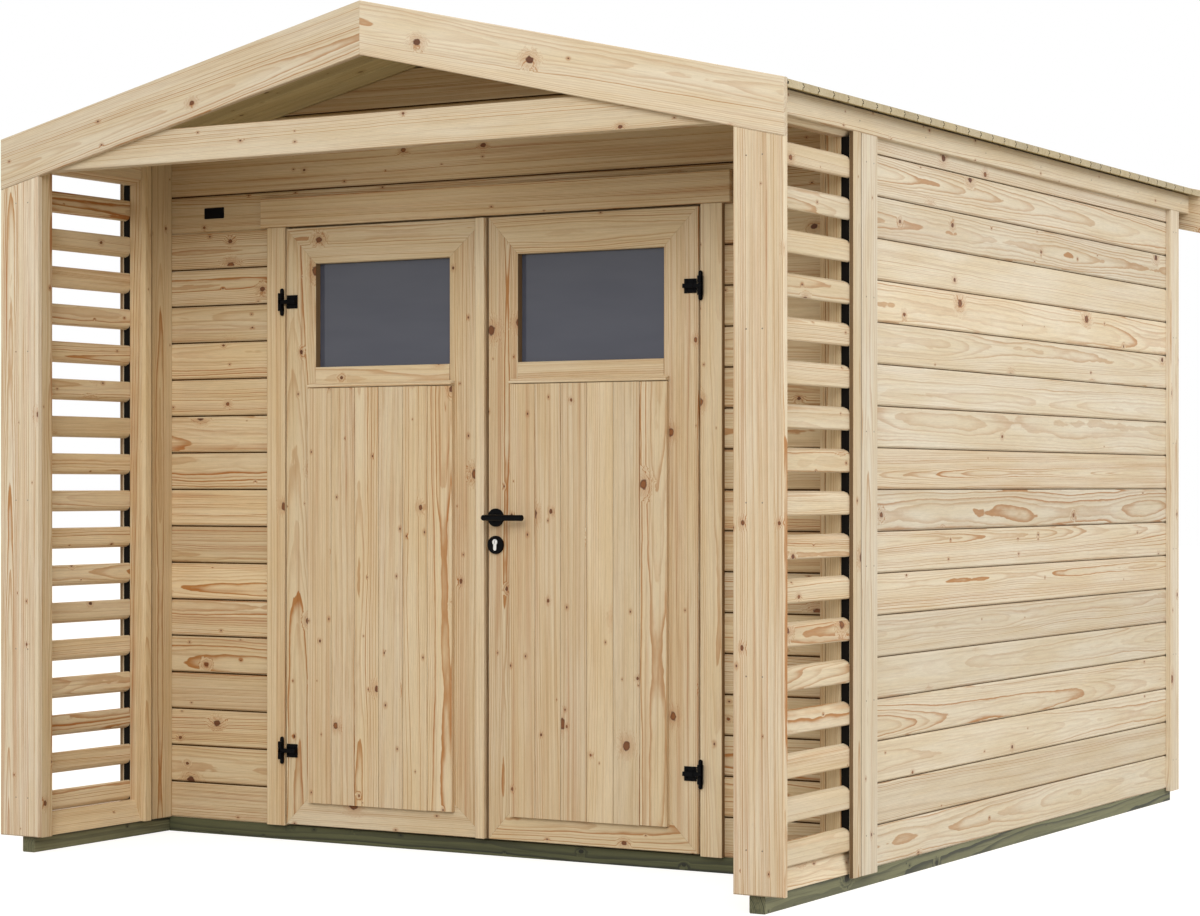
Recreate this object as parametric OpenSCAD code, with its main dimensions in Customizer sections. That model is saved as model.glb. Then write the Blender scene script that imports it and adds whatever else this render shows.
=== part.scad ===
// Wooden garden shed: square boarded hut with a slatted front porch, a low gable roof
// and a pair of part-glazed doors. Millimetres, +Z up, front towards -Y, origin at the
// middle of the footprint on the ground.

/* [Hut] */
// Width over the wall boards
hut_w = 2426; // [2000:1:3200]
// Depth from the front wall boards to the rear wall boards
hut_d = 2390; // [1800:1:3200]
// Depth of the porch, from the front boards to the front wall
porch_d = 633; // [450:1:1000]

/* [Timbers] */
// Thickness of wall, corner and face boards
board_t = 19; // [15:1:28]
// Side of the square frame timbers
stud = 45; // [34:1:70]
// Width of the ground bearers
bearer_w = 45; // [34:1:95]
// Height of the ground bearers
bearer_h = 45; // [34:1:95]
// Thickness of the floor boards
floor_t = 19; // [15:1:28]
// Clear distance between floor joists, at most
joist_gap = 260; // [150:5:300]
// Bays between studs along each wall
wall_bays = 4; // [2:1:6]
// How far the bearers lie behind the face of the wall boards
bearer_inset = 4; // [0:1:10]
// How far corner and front boards hang below the wall boards
board_hang = 9; // [0:1:20]
// Height of the front boards' feet over the bearers
front_lift = 3; // [0:1:20]

/* [Corners] */
// Width of the front corner boards and of the posts behind them
corner_w = 95; // [70:1:140]
// Width of the rear corner boards on the side walls
rear_corner_w = 78; // [60:1:140]

/* [Roof] */
// Overhang of the roof beyond the wall boards, each side
side_over = 60; // [30:1:200]
// Slope of the roof in degrees
roof_pitch = 13.1; // [8:0.1:25]
// Height of the bargeboards' top edge at the eaves
eave_z = 2068; // [1950:1:2400]
// Overhang of the roof behind the rear wall boards
rear_over = 138; // [60:1:250]
// Thickness of the roof boards
deck_t = 19; // [15:1:28]
// How far the bargeboards stand above the roof boards
barge_rise = 3; // [0:1:15]
// Plumb height of the bargeboards
barge_v = 146; // [100:1:200]
// Visible height of the boards under the eaves
eaves_v = 66; // [40:1:100]
// Depth of the ridge beam and the tie beam
beam_v = 95; // [70:1:145]
// Underside of the tie beam across the porch
tie_z = 1968; // [1900:1:2050]

/* [Porch] */
// Width of the boards on the porch posts
front_board_w = 142; // [95:1:180]
// How far the bearers stop behind the porch front
bearer_setback = 24; // [20:1:60]
// Distance from slat to slat
slat_pitch = 110; // [95:1:130]
// Height of a slat's outer face
slat_face = 57; // [40:1:80]
// Thickness of a slat
slat_t = 25; // [15:1:30]
// Fall of a slat's top and bottom faces towards the outside
slat_fall = 11; // [0:1:20]
// Height of the lowest slat's outer lower edge
slat_z = 103; // [98:1:140]
// Thickness of the cover strip over the slat ends
cover_t = 13; // [10:1:19]
// Thickness of the strip inside the rear post of a screen
inner_strip_t = 16; // [10:1:22]
// Width of that strip
inner_strip_w = 30; // [20:1:45]
// Shadow gap between a screen and the corner post
screen_gap = 8; // [2:1:15]
// Height of the rail at the foot of a screen
foot_rail_v = 53; // [40:1:80]
// Height of the rail at the head of a screen
head_rail_v = 14; // [8:1:40]
// Splay of the foot and head rails on their inner side
rail_splay_in = 26; // [0:1:30]
// Splay of the foot and head rails on their outer side
rail_splay_out = 11; // [0:1:16]

/* [Doors] */
// Width of the door pair
doors_w = 1400; // [1200:1:1600]
// Underside of the door leaves
leaf_z0 = 51; // [50:1:60]
// Top of the door leaves
leaf_z1 = 1830; // [1700:1:1850]
// Thickness of the leaf frames
leaf_t = 32; // [28:1:34]
// Clearance round each leaf
leaf_gap = 6; // [5:0.5:8]
// Clearance where the leaves meet
meet_gap = 8; // [8:0.5:10]
// Where the left leaf ends, right of the middle
meet_x = 9; // [0:1:20]
// Width of the stiles and of the top and bottom rails
stile_w = 108; // [90:1:130]
// Width of the stiles where the leaves meet
meet_stile_w = 125; // [100:1:140]
// Height of the window openings
window_v = 308; // [200:1:400]
// Height of the rail under the windows
mid_rail_v = 104; // [80:1:130]
// Depth of the glass behind the leaf's face
glass_recess = 24; // [10:1:26]
// Thickness of the glass
glass_t = 4; // [3:1:6]
// Width of the boarded panel beyond the leaf's opening, each side
panel_lap = 18; // [10:1:30]
// Thickness of the boarded panels
panel_t = 16; // [12:1:20]
// Underside of the boarded panels
panel_z0 = 121; // [100:1:160]
// Gap from the window to the top of the drip moulding
drip_drop = 48; // [30:1:70]
// Height of the drip moulding
drip_v = 13; // [8:1:20]
// Projection of the drip moulding
drip_out = 22; // [18:1:30]
// Width of the side trims
trim_w = 67; // [50:1:100]
// Height of the head trim
head_v = 89; // [60:1:110]
// How far the head trim runs past the side trims
head_ear = 25; // [0:1:40]
// Width of the strip where the leaves meet
strip_w = 30; // [20:1:40]
// Thickness of the strip where the leaves meet
strip_t = 12; // [8:1:19]
// How far the door posts reach behind the leaves
stop_lap = 10; // [6:1:20]

/* [Ironmongery] */
// Height of the lower hinges
hinge_low_z = 271; // [200:1:400]
// Height of the upper hinges
hinge_high_z = 1611; // [1400:1:1700]
// Length of a hinge barrel without its ball ends
hinge_len = 70; // [50:1:100]
// Radius of a hinge barrel
hinge_r = 6; // [5:0.5:8]
// Radius of a hinge pin
pin_r = 3; // [2:0.5:4]
// Gap between a hinge barrel and the trim
barrel_gap = 0.5; // [0.5:0.5:3]
// Distance of a hinge pin from the leaf's edge
pin_set = 11; // [9:0.5:14]
// Height of a hinge knuckle on the leaf
knuckle_v = 12; // [8:1:20]
// Size of the hinge pad on the leaf
pad_w = 37; // [30:1:60]
// Distance of the hinge pad from the leaf's edge
pad_set = 4.5; // [2:0.5:10]
// Width of the hinge blocks on the trim
block_w = 11; // [8:1:12]
// Height of a pair of hinge blocks
block_v = 54; // [40:1:60]
// How far the hinge blocks stand in front of the pin
block_out = 8; // [6:0.5:8]
// Thickness of the hinge pads
pad_t = 3; // [2:0.5:5]
// Height of the lever's axis
lever_z = 971; // [900:1:1100]
// Distance of the lock from the edge of its leaf
backset = 28; // [27:1:60]
// Radius of the lever rose and the key escutcheon
rose_r = 26; // [22:1:30]
// Thickness of the rose and the escutcheon
rose_t = 8; // [5:1:12]
// Distance from the lever's axis to the key cylinder
lock_pitch = 78; // [70:1:95]
// Radius of the lever's bar
lever_r = 8.5; // [6:0.5:10]
// Length of the lever from its axis to its tip
lever_len = 124; // [95:1:140]
// How far the lever's bar runs past its axis
lever_tail = 6; // [0:1:10]
// Rounding of the lever's tip
lever_tip = 2; // [1:0.5:4]
// Stand-off of the lever's bar from the leaf
lever_out = 58; // [40:1:70]
// Radius of the key cylinder's round head
key_r = 8.5; // [8:0.5:9]
// Height of the key cylinder
key_v = 33; // [30:1:36]
// Width of the key cylinder's lower part
key_w = 10; // [9:1:12]
// How far the key cylinder stands out of its escutcheon
key_proud = 2; // [0:0.5:4]
// Side of the lever's square spindle
spindle_w = 8; // [6:1:9]
// Clearance round the spindle's corners
spindle_play = 1; // [0.5:0.5:3]
// How far the rib stands in front of a hinge pad
rib_out = 12; // [8:1:16]

/* [Hidden] */

pine = "burlywood";
treated = "darkolivegreen";
black = "#151618";

// Joint line left between timbers that butt together
joint = 0.3;
// Running clearance round pins and the lever's neck
running = 0.3;
// Seat left between the roof boards and what carries them
seat = 0.1;

// Lengthwise stations, front to rear
roof_d = porch_d + hut_d + rear_over;
front_y = -roof_d / 2;
back_y = roof_d / 2;
wall_y = front_y + porch_d;
rear_y = wall_y + hut_d;
post_y = wall_y - corner_w;
screen_y1 = post_y - screen_gap;
screen_y0 = front_y + board_t;

// Sideways stations, from the middle outwards
face_x = hut_w / 2;
half_roof = face_x + side_over;
frame_x = face_x - board_t;
room_x = frame_x - stud;
corner_x = face_x + board_t;

// Heights
rise = tan(roof_pitch);
ridge_z = eave_z + rise * half_roof;
deck_plumb = deck_t / cos(roof_pitch);
function top_z(x) = ridge_z - rise * abs(x);
function deck_z(x) = top_z(x) - barge_rise;
function under_z(x) = deck_z(x) - deck_plumb;
function seat_z(x) = under_z(x) - seat;
sill_z = bearer_h;
hang_z = sill_z - board_hang;
foot_z = sill_z + front_lift;
floor_z = sill_z + floor_t;
eaves_z0 = under_z(corner_x) - eaves_v;
plate_z1 = seat_z(frame_x);
plate_z0 = plate_z1 - stud;
stud_z0 = sill_z + stud;
slat_room = eaves_z0 - head_rail_v - slat_z - slat_face - slat_fall;
slat_count = floor(slat_room / slat_pitch) + 1;

// Door opening and leaves
half_doors = doors_w / 2;
opening_x = half_doors + leaf_gap;
opening_z = leaf_z1 + leaf_gap;
trim_y = wall_y - board_t;
leaf_y1 = wall_y + board_t - leaf_gap;
leaf_y0 = leaf_y1 - leaf_t;
stop_x = half_doors - stop_lap;
stop_z = leaf_z1 - stop_lap;
right_x = meet_x + meet_gap;
left_a = -half_doors + stile_w;
left_b = meet_x - meet_stile_w;
right_a = -left_b;
right_b = half_doors - stile_w;
window_z1 = leaf_z1 - stile_w;
window_z0 = window_z1 - window_v;
drip_z1 = window_z0 - drip_drop;
panel_z1 = drip_z1 - drip_v;
panel_open_z0 = leaf_z0 + stile_w;
panel_open_z1 = window_z0 - mid_rail_v;

// Hinge pins stand just clear of the trim, beside the leaf's edge
pin_x = half_doors + pin_set;
pin_y = min(leaf_y0, trim_y) - hinge_r - barrel_gap;
hinge_heights = [hinge_low_z, hinge_high_z];
lock_x = right_x + backset;
key_z = lever_z - lock_pitch;

fn_round = 48;
tiny = 0.01;

// A box given by its low and high corners
module block(low, high) {
    translate(low) cube(high - low);
}

// An outline in X and Z, extruded from y0 to y1
module slab(y0, y1, points) {
    translate([0, y1, 0]) rotate([90, 0, 0]) linear_extrude(y1 - y0) polygon(points);
}

// Children on the right as drawn, or mirrored to the left
module on_side(left) {
    mirror([left ? 1 : 0, 0, 0]) children();
}

// A strip under the roof boards between x0 and x1, from z0 up to the slope
module under_roof(x0, x1, z0, y0, y1) {
    slab(y0, y1, [[x0, z0], [x1, z0], [x1, seat_z(x1)], [x0, seat_z(x0)]]);
}

// Ground bearers and floor
module side_bearer(left) {
    on_side(left) color(treated)
        block([face_x - bearer_inset - bearer_w, front_y + bearer_setback, 0],
              [face_x - bearer_inset, rear_y - bearer_inset, bearer_h]);
}

module cross_bearer(y0) {
    x = face_x - bearer_inset - bearer_w - joint;
    color(treated) block([-x, y0, 0], [x, y0 + bearer_w, bearer_h]);
}

module floor_joists() {
    y0 = wall_y + bearer_inset + bearer_w + joint;
    y1 = rear_y - bearer_inset - bearer_w - joint;
    span = 2 * (face_x - bearer_inset - bearer_w);
    spaces = ceil((span - joist_gap) / (joist_gap + bearer_w)) + 1;
    step = span / spaces;
    color(treated)
        for (i = [1 : spaces - 1])
            let (x = -span / 2 + step * i)
                block([x - bearer_w / 2, y0, 0], [x + bearer_w / 2, y1, bearer_h]);
}

module floor_boards() {
    x = room_x - joint;
    color(pine)
        block([-x, wall_y + board_t + stud, sill_z], [x, rear_y - board_t - stud - joint, floor_z]);
}

// Boarded walls
module side_wall(left) {
    on_side(left) color(pine) under_roof(frame_x, face_x, sill_z, post_y, rear_y);
}

// Outline of a gable from z0 up to the roof, notched for the ridge beam
module gable(y0, y1, z0) {
    x = frame_x - joint;
    beam_x = stud / 2 + joint;
    beam_z = seat_z(stud / 2) - beam_v - joint;
    slab(y0, y1, [
        [-x, z0], [x, z0], [x, seat_z(x)],
        [beam_x, seat_z(beam_x)], [beam_x, beam_z], [-beam_x, beam_z], [-beam_x, seat_z(beam_x)],
        [-x, seat_z(x)]
    ]);
}

module rear_wall() {
    color(pine) gable(rear_y - board_t, rear_y, sill_z);
}

module front_wall_side(left) {
    on_side(left) color(pine)
        block([opening_x, wall_y, sill_z], [frame_x - joint, wall_y + board_t, opening_z - joint]);
}

module front_gable() {
    color(pine) gable(wall_y, wall_y + board_t, opening_z);
}

// Wall frames: a plate below, a plate above and studs between them
module side_wall_frame(left) {
    y0 = wall_y + board_t + joint;
    y1 = rear_y - board_t - joint;
    step = (y1 - y0 - stud) / wall_bays;
    on_side(left) color(pine) {
        block([room_x, y0, sill_z], [frame_x, y1, stud_z0]);
        block([room_x, y0, plate_z0], [frame_x, y1, plate_z1]);
        for (i = [0 : wall_bays])
            block([room_x, y0 + step * i, stud_z0 + joint],
                  [frame_x, y0 + step * i + stud, plate_z0 - joint]);
    }
}

module rear_wall_frame() {
    y1 = rear_y - board_t;
    y0 = y1 - stud;
    x1 = room_x - joint;
    step = (2 * x1 - stud) / wall_bays;
    color(pine) {
        block([-x1, y0, sill_z], [x1, y1, stud_z0]);
        block([-x1, y0, plate_z0], [x1, y1, plate_z1]);
        for (i = [0 : wall_bays])
            block([-x1 + step * i, y0, stud_z0 + joint],
                  [-x1 + step * i + stud, y1, plate_z0 - joint]);
    }
}

module front_wall_frame() {
    y0 = wall_y + board_t;
    y1 = y0 + stud;
    x1 = room_x - joint;
    color(pine) {
        block([-x1, y0, plate_z0], [x1, y1, plate_z1]);
        block([-stop_x + joint, y0, stop_z], [stop_x - joint, y1, stop_z + beam_v]);
        for (left = [false, true])
            on_side(left) block([stop_x, y0, sill_z], [stop_x + stud, y1, plate_z0 - joint]);
    }
}

// Corners: a post in the porch with a board outside, and lapped boards at the rear
module front_corner(left) {
    on_side(left) color(pine) {
        under_roof(room_x, frame_x, sill_z, post_y, wall_y);
        block([face_x, post_y, hang_z], [corner_x, wall_y, eaves_z0 - joint]);
    }
}

module rear_corner(left) {
    on_side(left) color(pine) {
        block([face_x, rear_y + board_t - rear_corner_w, hang_z],
              [corner_x, rear_y + board_t, eaves_z0 - joint]);
        under_roof(face_x - corner_w, face_x - joint, hang_z, rear_y, rear_y + board_t);
    }
}

// Porch screens: two posts, splayed rails, sloping slats and cover strips
module slat(z) {
    points = [
        [frame_x, z + slat_fall], [frame_x + slat_t, z],
        [frame_x + slat_t, z + slat_face], [frame_x, z + slat_face + slat_fall]
    ];
    slab(screen_y0, screen_y1, points);
}

// A rail section: wide at z_wide, drawn in by the splays at z_narrow
module splayed_rail(z_wide, z_out, z_in) {
    points = [
        [room_x, z_wide], [frame_x + board_t, z_wide],
        [frame_x + board_t - rail_splay_out, z_out], [frame_x, z_in], [room_x + rail_splay_in, z_in]
    ];
    slab(screen_y0, screen_y1, points);
}

module screen(left) {
    head_z = eaves_z0;
    on_side(left) color(pine) {
        under_roof(room_x, frame_x, sill_z, screen_y0, screen_y0 + stud);
        under_roof(room_x, frame_x, sill_z, screen_y1 - stud, screen_y1);
        for (i = [0 : slat_count - 1]) slat(slat_z + slat_pitch * i);
        splayed_rail(sill_z, sill_z + foot_rail_v, sill_z + foot_rail_v + slat_fall);
        splayed_rail(head_z, head_z - head_rail_v, head_z - head_rail_v);
        under_roof(room_x, face_x, head_z - tiny, screen_y0, screen_y1);
        block([frame_x + slat_t - tiny, screen_y1 - stud, hang_z],
              [frame_x + slat_t + cover_t, screen_y1, eaves_z0 - joint]);
        block([room_x - inner_strip_t, screen_y1 - stud, sill_z],
              [room_x + tiny, screen_y1 - stud + inner_strip_w, seat_z(room_x)]);
    }
}

// Boards on the porch posts, cut to the bargeboards above
module front_board(left) {
    x0 = half_roof - front_board_w;
    function cut_z(x) = top_z(x) - barge_v - joint;
    on_side(left) color(pine)
        slab(front_y, front_y + board_t, [
            [x0, foot_z], [half_roof, foot_z], [half_roof, cut_z(half_roof)], [x0, cut_z(x0)]
        ]);
}

// Roof
module tie_beam() {
    x = room_x - joint;
    color(pine) block([-x, screen_y0, tie_z], [x, screen_y0 + stud, tie_z + beam_v]);
}

module ridge_beam() {
    x = stud / 2;
    z0 = seat_z(x) - beam_v;
    color(pine)
        slab(front_y + board_t, back_y - board_t, [
            [-x, z0], [x, z0], [x, seat_z(x)], [0, seat_z(0)], [-x, seat_z(x)]
        ]);
}

module bargeboards(y0) {
    color(pine)
        for (left = [false, true])
            on_side(left)
                slab(y0, y0 + board_t, [
                    [joint / 2, top_z(joint / 2) - barge_v], [half_roof, top_z(half_roof) - barge_v],
                    [half_roof, top_z(half_roof)], [joint / 2, top_z(joint / 2)]
                ]);
}

module roof_deck(left) {
    x0 = joint / 2;
    on_side(left) color(pine)
        slab(front_y + board_t, back_y - board_t, [
            [x0, under_z(x0)], [half_roof, under_z(half_roof)],
            [half_roof, deck_z(half_roof)], [x0, deck_z(x0)]
        ]);
}

module eaves_board(left) {
    on_side(left) color(pine)
        under_roof(face_x, corner_x, eaves_z0, front_y + board_t, back_y - board_t);
}

// Trim round the doors
module door_trim() {
    head_x = opening_x + trim_w + head_ear;
    color(pine) {
        block([-head_x, trim_y, opening_z], [head_x, wall_y, opening_z + head_v]);
        for (left = [false, true])
            on_side(left)
                block([opening_x, trim_y, sill_z], [opening_x + trim_w, wall_y, opening_z - joint]);
    }
}

// Hinge half on the trim: two blocks, the pin through them and its barrel ends with balls
module hinge_plates(left) {
    slot = knuckle_v / 2 + running;
    arm_v = hinge_len / 2 - slot;
    side_v = block_v / 2 - slot;
    on_side(left) color(black)
        for (z = hinge_heights) translate([pin_x, 0, z]) {
            translate([0, pin_y, -hinge_len / 2]) cylinder(r = pin_r, h = hinge_len, $fn = fn_round);
            for (s = [-1, 1]) {
                translate([-block_w / 2, pin_y - block_out, s * (slot + side_v / 2) - side_v / 2])
                    cube([block_w, trim_y - pin_y + block_out, side_v]);
                translate([0, pin_y, s * (slot + arm_v / 2)])
                    cylinder(r = hinge_r, h = arm_v, center = true, $fn = fn_round);
                translate([0, pin_y, s * hinge_len / 2]) sphere(r = hinge_r, $fn = fn_round);
            }
        }
}

// Hinge half on the leaf: knuckle in the slot between the blocks, neck, square pad and the rib over it
module hinge_straps(left) {
    pad_x = half_doors - pad_set;
    on_side(left) color(black)
        for (z = hinge_heights) translate([0, 0, z])
            difference() {
                union() {
                    translate([pin_x, pin_y, -knuckle_v / 2])
                        cylinder(r = hinge_r, h = knuckle_v, $fn = fn_round);
                    block([pad_x - pad_w, leaf_y0 - pad_t, -pad_w / 2],
                          [pad_x, leaf_y0, pad_w / 2]);
                    block([pad_x - pad_w, pin_y - hinge_r + running, -knuckle_v / 2],
                          [pin_x, leaf_y0 - pad_t + tiny, knuckle_v / 2]);
                    block([pad_x - pad_w, leaf_y0 - pad_t - rib_out, -knuckle_v / 2],
                          [pad_x - pad_set, leaf_y0 - pad_t + tiny, knuckle_v / 2]);
                }
                translate([pin_x, pin_y, -knuckle_v])
                    cylinder(r = pin_r + running, h = 2 * knuckle_v, $fn = fn_round);
            }
}

// A leaf frame from x0 to x1, mitred at its four corners, with a rail under the window
module leaf_frame(x0, x1, a, b) {
    color(pine) {
        slab(leaf_y0, leaf_y1, [[x0, leaf_z0], [a, panel_open_z0], [a, window_z1], [x0, leaf_z1]]);
        slab(leaf_y0, leaf_y1, [[b, panel_open_z0], [x1, leaf_z0], [x1, leaf_z1], [b, window_z1]]);
        for (rail = [[leaf_z1, window_z1 + joint], [leaf_z0, panel_open_z0 - joint]])
            slab(leaf_y0, leaf_y1, [
                [a + joint, rail[1]], [b - joint, rail[1]],
                [x1 - 2 * joint, rail[0]], [x0 + 2 * joint, rail[0]]
            ]);
        block([a + joint, leaf_y0, panel_open_z1], [b - joint, leaf_y1, window_z0]);
    }
}

// The right leaf's frame, bored for the lever's spindle
module right_leaf_frame() {
    difference() {
        leaf_frame(right_x, half_doors, right_a, right_b);
        translate([lock_x, leaf_y0 - tiny, lever_z]) rotate([-90, 0, 0])
            cylinder(r = spindle_w / sqrt(2) + spindle_play, h = leaf_t + 2 * tiny, $fn = fn_round);
    }
}

// Children on the outer face of a leaf, and mirrored onto its inner face
module both_faces() {
    children();
    translate([0, leaf_y0 + leaf_y1, 0]) mirror([0, 1, 0]) children();
}

// The boarded panel planted on a leaf, with the drip moulding over it
module leaf_panel(a, b) {
    color(pine) {
        block([a - panel_lap, leaf_y0 - panel_t, panel_z0], [b + panel_lap, leaf_y0, panel_z1 - joint]);
        block([a - panel_lap, leaf_y0 - drip_out, panel_z1], [b + panel_lap, leaf_y0, drip_z1]);
    }
}

module leaf_glass(a, b) {
    y0 = leaf_y0 + glass_recess;
    color("slategray", 0.6)
        block([a + joint, y0, window_z0 + joint], [b - joint, y0 + glass_t, window_z1 - joint]);
}

module meeting_strip() {
    color(pine)
        block([meet_x - strip_w, leaf_y0 - strip_t, leaf_z0], [meet_x, leaf_y0, leaf_z1]);
}

// Rose round the lever's neck and the escutcheon below it, on both faces of the leaf
module lock_plates() {
    color(black) both_faces() {
        translate([lock_x, leaf_y0, lever_z]) rotate([90, 0, 0])
            difference() {
                cylinder(r = rose_r, h = rose_t, $fn = fn_round);
                translate([0, 0, -tiny])
                    cylinder(r = lever_r + running, h = rose_t + 2 * tiny, $fn = fn_round);
            }
        translate([lock_x, leaf_y0, key_z]) rotate([90, 0, 0])
            difference() {
                cylinder(r = rose_r, h = rose_t, $fn = fn_round);
                translate([0, 0, -tiny]) linear_extrude(rose_t + 2 * tiny) key_outline(running);
            }
    }
}

// Profile of the key cylinder: a round head over a narrow tail
module key_outline(grow) {
    tail_z = -(key_v - 2 * key_r) - key_r + key_w / 2;
    translate([0, key_v / 2 - key_r]) {
        circle(r = key_r + grow, $fn = fn_round);
        translate([-key_w / 2 - grow, tail_z]) square([key_w + 2 * grow, -tail_z]);
        translate([0, tail_z]) circle(r = key_w / 2 + grow, $fn = fn_round);
    }
}

module lock_cylinder() {
    color("gainsboro") both_faces()
        translate([lock_x, leaf_y0, key_z]) rotate([90, 0, 0])
            linear_extrude(rose_t + key_proud) key_outline(0);
}

// Levers on both faces: a neck through the rose, a bar turned towards the hinges, one spindle
module lever_handle() {
    color(black) {
        both_faces()
            translate([lock_x, leaf_y0 - running, lever_z]) rotate([90, 0, 0]) {
                cylinder(r = lever_r, h = lever_out, $fn = fn_round);
                translate([-lever_tail, 0, lever_out]) {
                    bar = lever_tail + lever_len - lever_tip;
                    sphere(r = lever_r, $fn = fn_round);
                    rotate([0, 90, 0]) cylinder(r = lever_r, h = bar, $fn = fn_round);
                    translate([bar, 0, 0]) rotate([0, 90, 0])
                        cylinder(r1 = lever_r, r2 = lever_r - lever_tip, h = lever_tip, $fn = fn_round);
                }
            }
        block([lock_x - spindle_w / 2, leaf_y0 - rose_t, lever_z - spindle_w / 2],
              [lock_x + spindle_w / 2, leaf_y1 + rose_t, lever_z + spindle_w / 2]);
    }
}

side_bearer(true);  // left_bearer
side_bearer(false);  // right_bearer
cross_bearer(wall_y + bearer_inset);  // front_bearer
cross_bearer(rear_y - bearer_inset - bearer_w);  // rear_bearer
floor_joists();
floor_boards();
side_wall(true);  // left_wall
side_wall(false);  // right_wall
rear_wall();
front_wall_side(true);  // front_wall_left
front_wall_side(false);  // front_wall_right
front_gable();
side_wall_frame(true);  // left_wall_frame
side_wall_frame(false);  // right_wall_frame
rear_wall_frame();
front_wall_frame();
front_corner(true);  // left_front_corner
front_corner(false);  // right_front_corner
rear_corner(true);  // left_rear_corner
rear_corner(false);  // right_rear_corner
screen(true);  // left_screen
screen(false);  // right_screen
front_board(true);  // left_front_board
front_board(false);  // right_front_board
tie_beam();
ridge_beam();
bargeboards(front_y);  // front_bargeboards
bargeboards(back_y - board_t);  // rear_bargeboards
roof_deck(true);  // left_roof_deck
roof_deck(false);  // right_roof_deck
eaves_board(true);  // left_eaves_board
eaves_board(false);  // right_eaves_board
door_trim();
hinge_plates(true);  // left_hinge_plates
hinge_plates(false);  // right_hinge_plates
leaf_frame(-half_doors, meet_x, left_a, left_b);  // left_leaf_frame
leaf_panel(left_a, left_b);  // left_leaf_panel
leaf_glass(left_a, left_b);  // left_glass
meeting_strip();
hinge_straps(true);  // left_hinge_straps
right_leaf_frame();
leaf_panel(right_a, right_b);  // right_leaf_panel
leaf_glass(right_a, right_b);  // right_glass
hinge_straps(false);  // right_hinge_straps
lock_plates();
lock_cylinder();
lever_handle();
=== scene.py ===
"""Looks of a wooden garden shed: boards with grain and knots, ironmongery, panes, light and camera."""

import random
from math import ceil, cos, hypot, pi, radians, sin, tan

import bmesh
import bpy
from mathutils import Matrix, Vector


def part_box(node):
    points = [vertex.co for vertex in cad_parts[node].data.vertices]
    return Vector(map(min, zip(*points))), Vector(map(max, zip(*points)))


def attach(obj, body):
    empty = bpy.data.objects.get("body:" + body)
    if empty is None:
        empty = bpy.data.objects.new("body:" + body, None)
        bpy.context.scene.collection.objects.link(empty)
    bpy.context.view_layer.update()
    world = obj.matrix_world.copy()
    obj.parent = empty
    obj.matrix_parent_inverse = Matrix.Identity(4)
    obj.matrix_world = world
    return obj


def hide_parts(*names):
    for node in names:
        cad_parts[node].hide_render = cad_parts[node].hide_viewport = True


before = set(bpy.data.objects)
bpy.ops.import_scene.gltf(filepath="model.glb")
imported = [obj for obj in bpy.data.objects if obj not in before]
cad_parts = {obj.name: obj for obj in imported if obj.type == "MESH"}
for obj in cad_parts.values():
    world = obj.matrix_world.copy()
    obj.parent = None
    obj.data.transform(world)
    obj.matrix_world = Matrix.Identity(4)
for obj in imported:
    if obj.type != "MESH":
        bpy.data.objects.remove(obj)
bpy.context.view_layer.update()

X, Y, Z = Vector((1, 0, 0)), Vector((0, 1, 0)), Vector((0, 0, 1))

# Sizes in metres that the frame's boxes don't give
ROOF_PITCH = radians(13.1)
RISE = tan(ROOF_PITCH)
STUD = 0.045
JOINT, PLAY, ROOF_PLAY = 0.0003, 0.0005, 0.0001
WALL_COVER = 0.112
FLOOR_COVER = 0.1
GROOVE, TONGUE = 0.0042, 0.007
WALL_BAYS = 4
SLAT_T = 0.025
ROOF_T, ROOF_BOARDS = 0.019, 36
# How far the studs and the head stand into the doorway, as a stop for the leaves
STOP_SIDE, STOP_HEAD = 0.016, 0.0157
# Corner radii of a board that is eased on its face
EASED = (0.001, 0.001, 0.003, 0.003)


# Materials


def linear(red, green, blue):
    """An sRGB colour of 0 to 255 as linear RGBA."""
    def one(c):
        c /= 255
        return c / 12.92 if c <= 0.04045 else ((c + 0.055) / 1.055) ** 2.4
    return one(red), one(green), one(blue), 1.0


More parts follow.
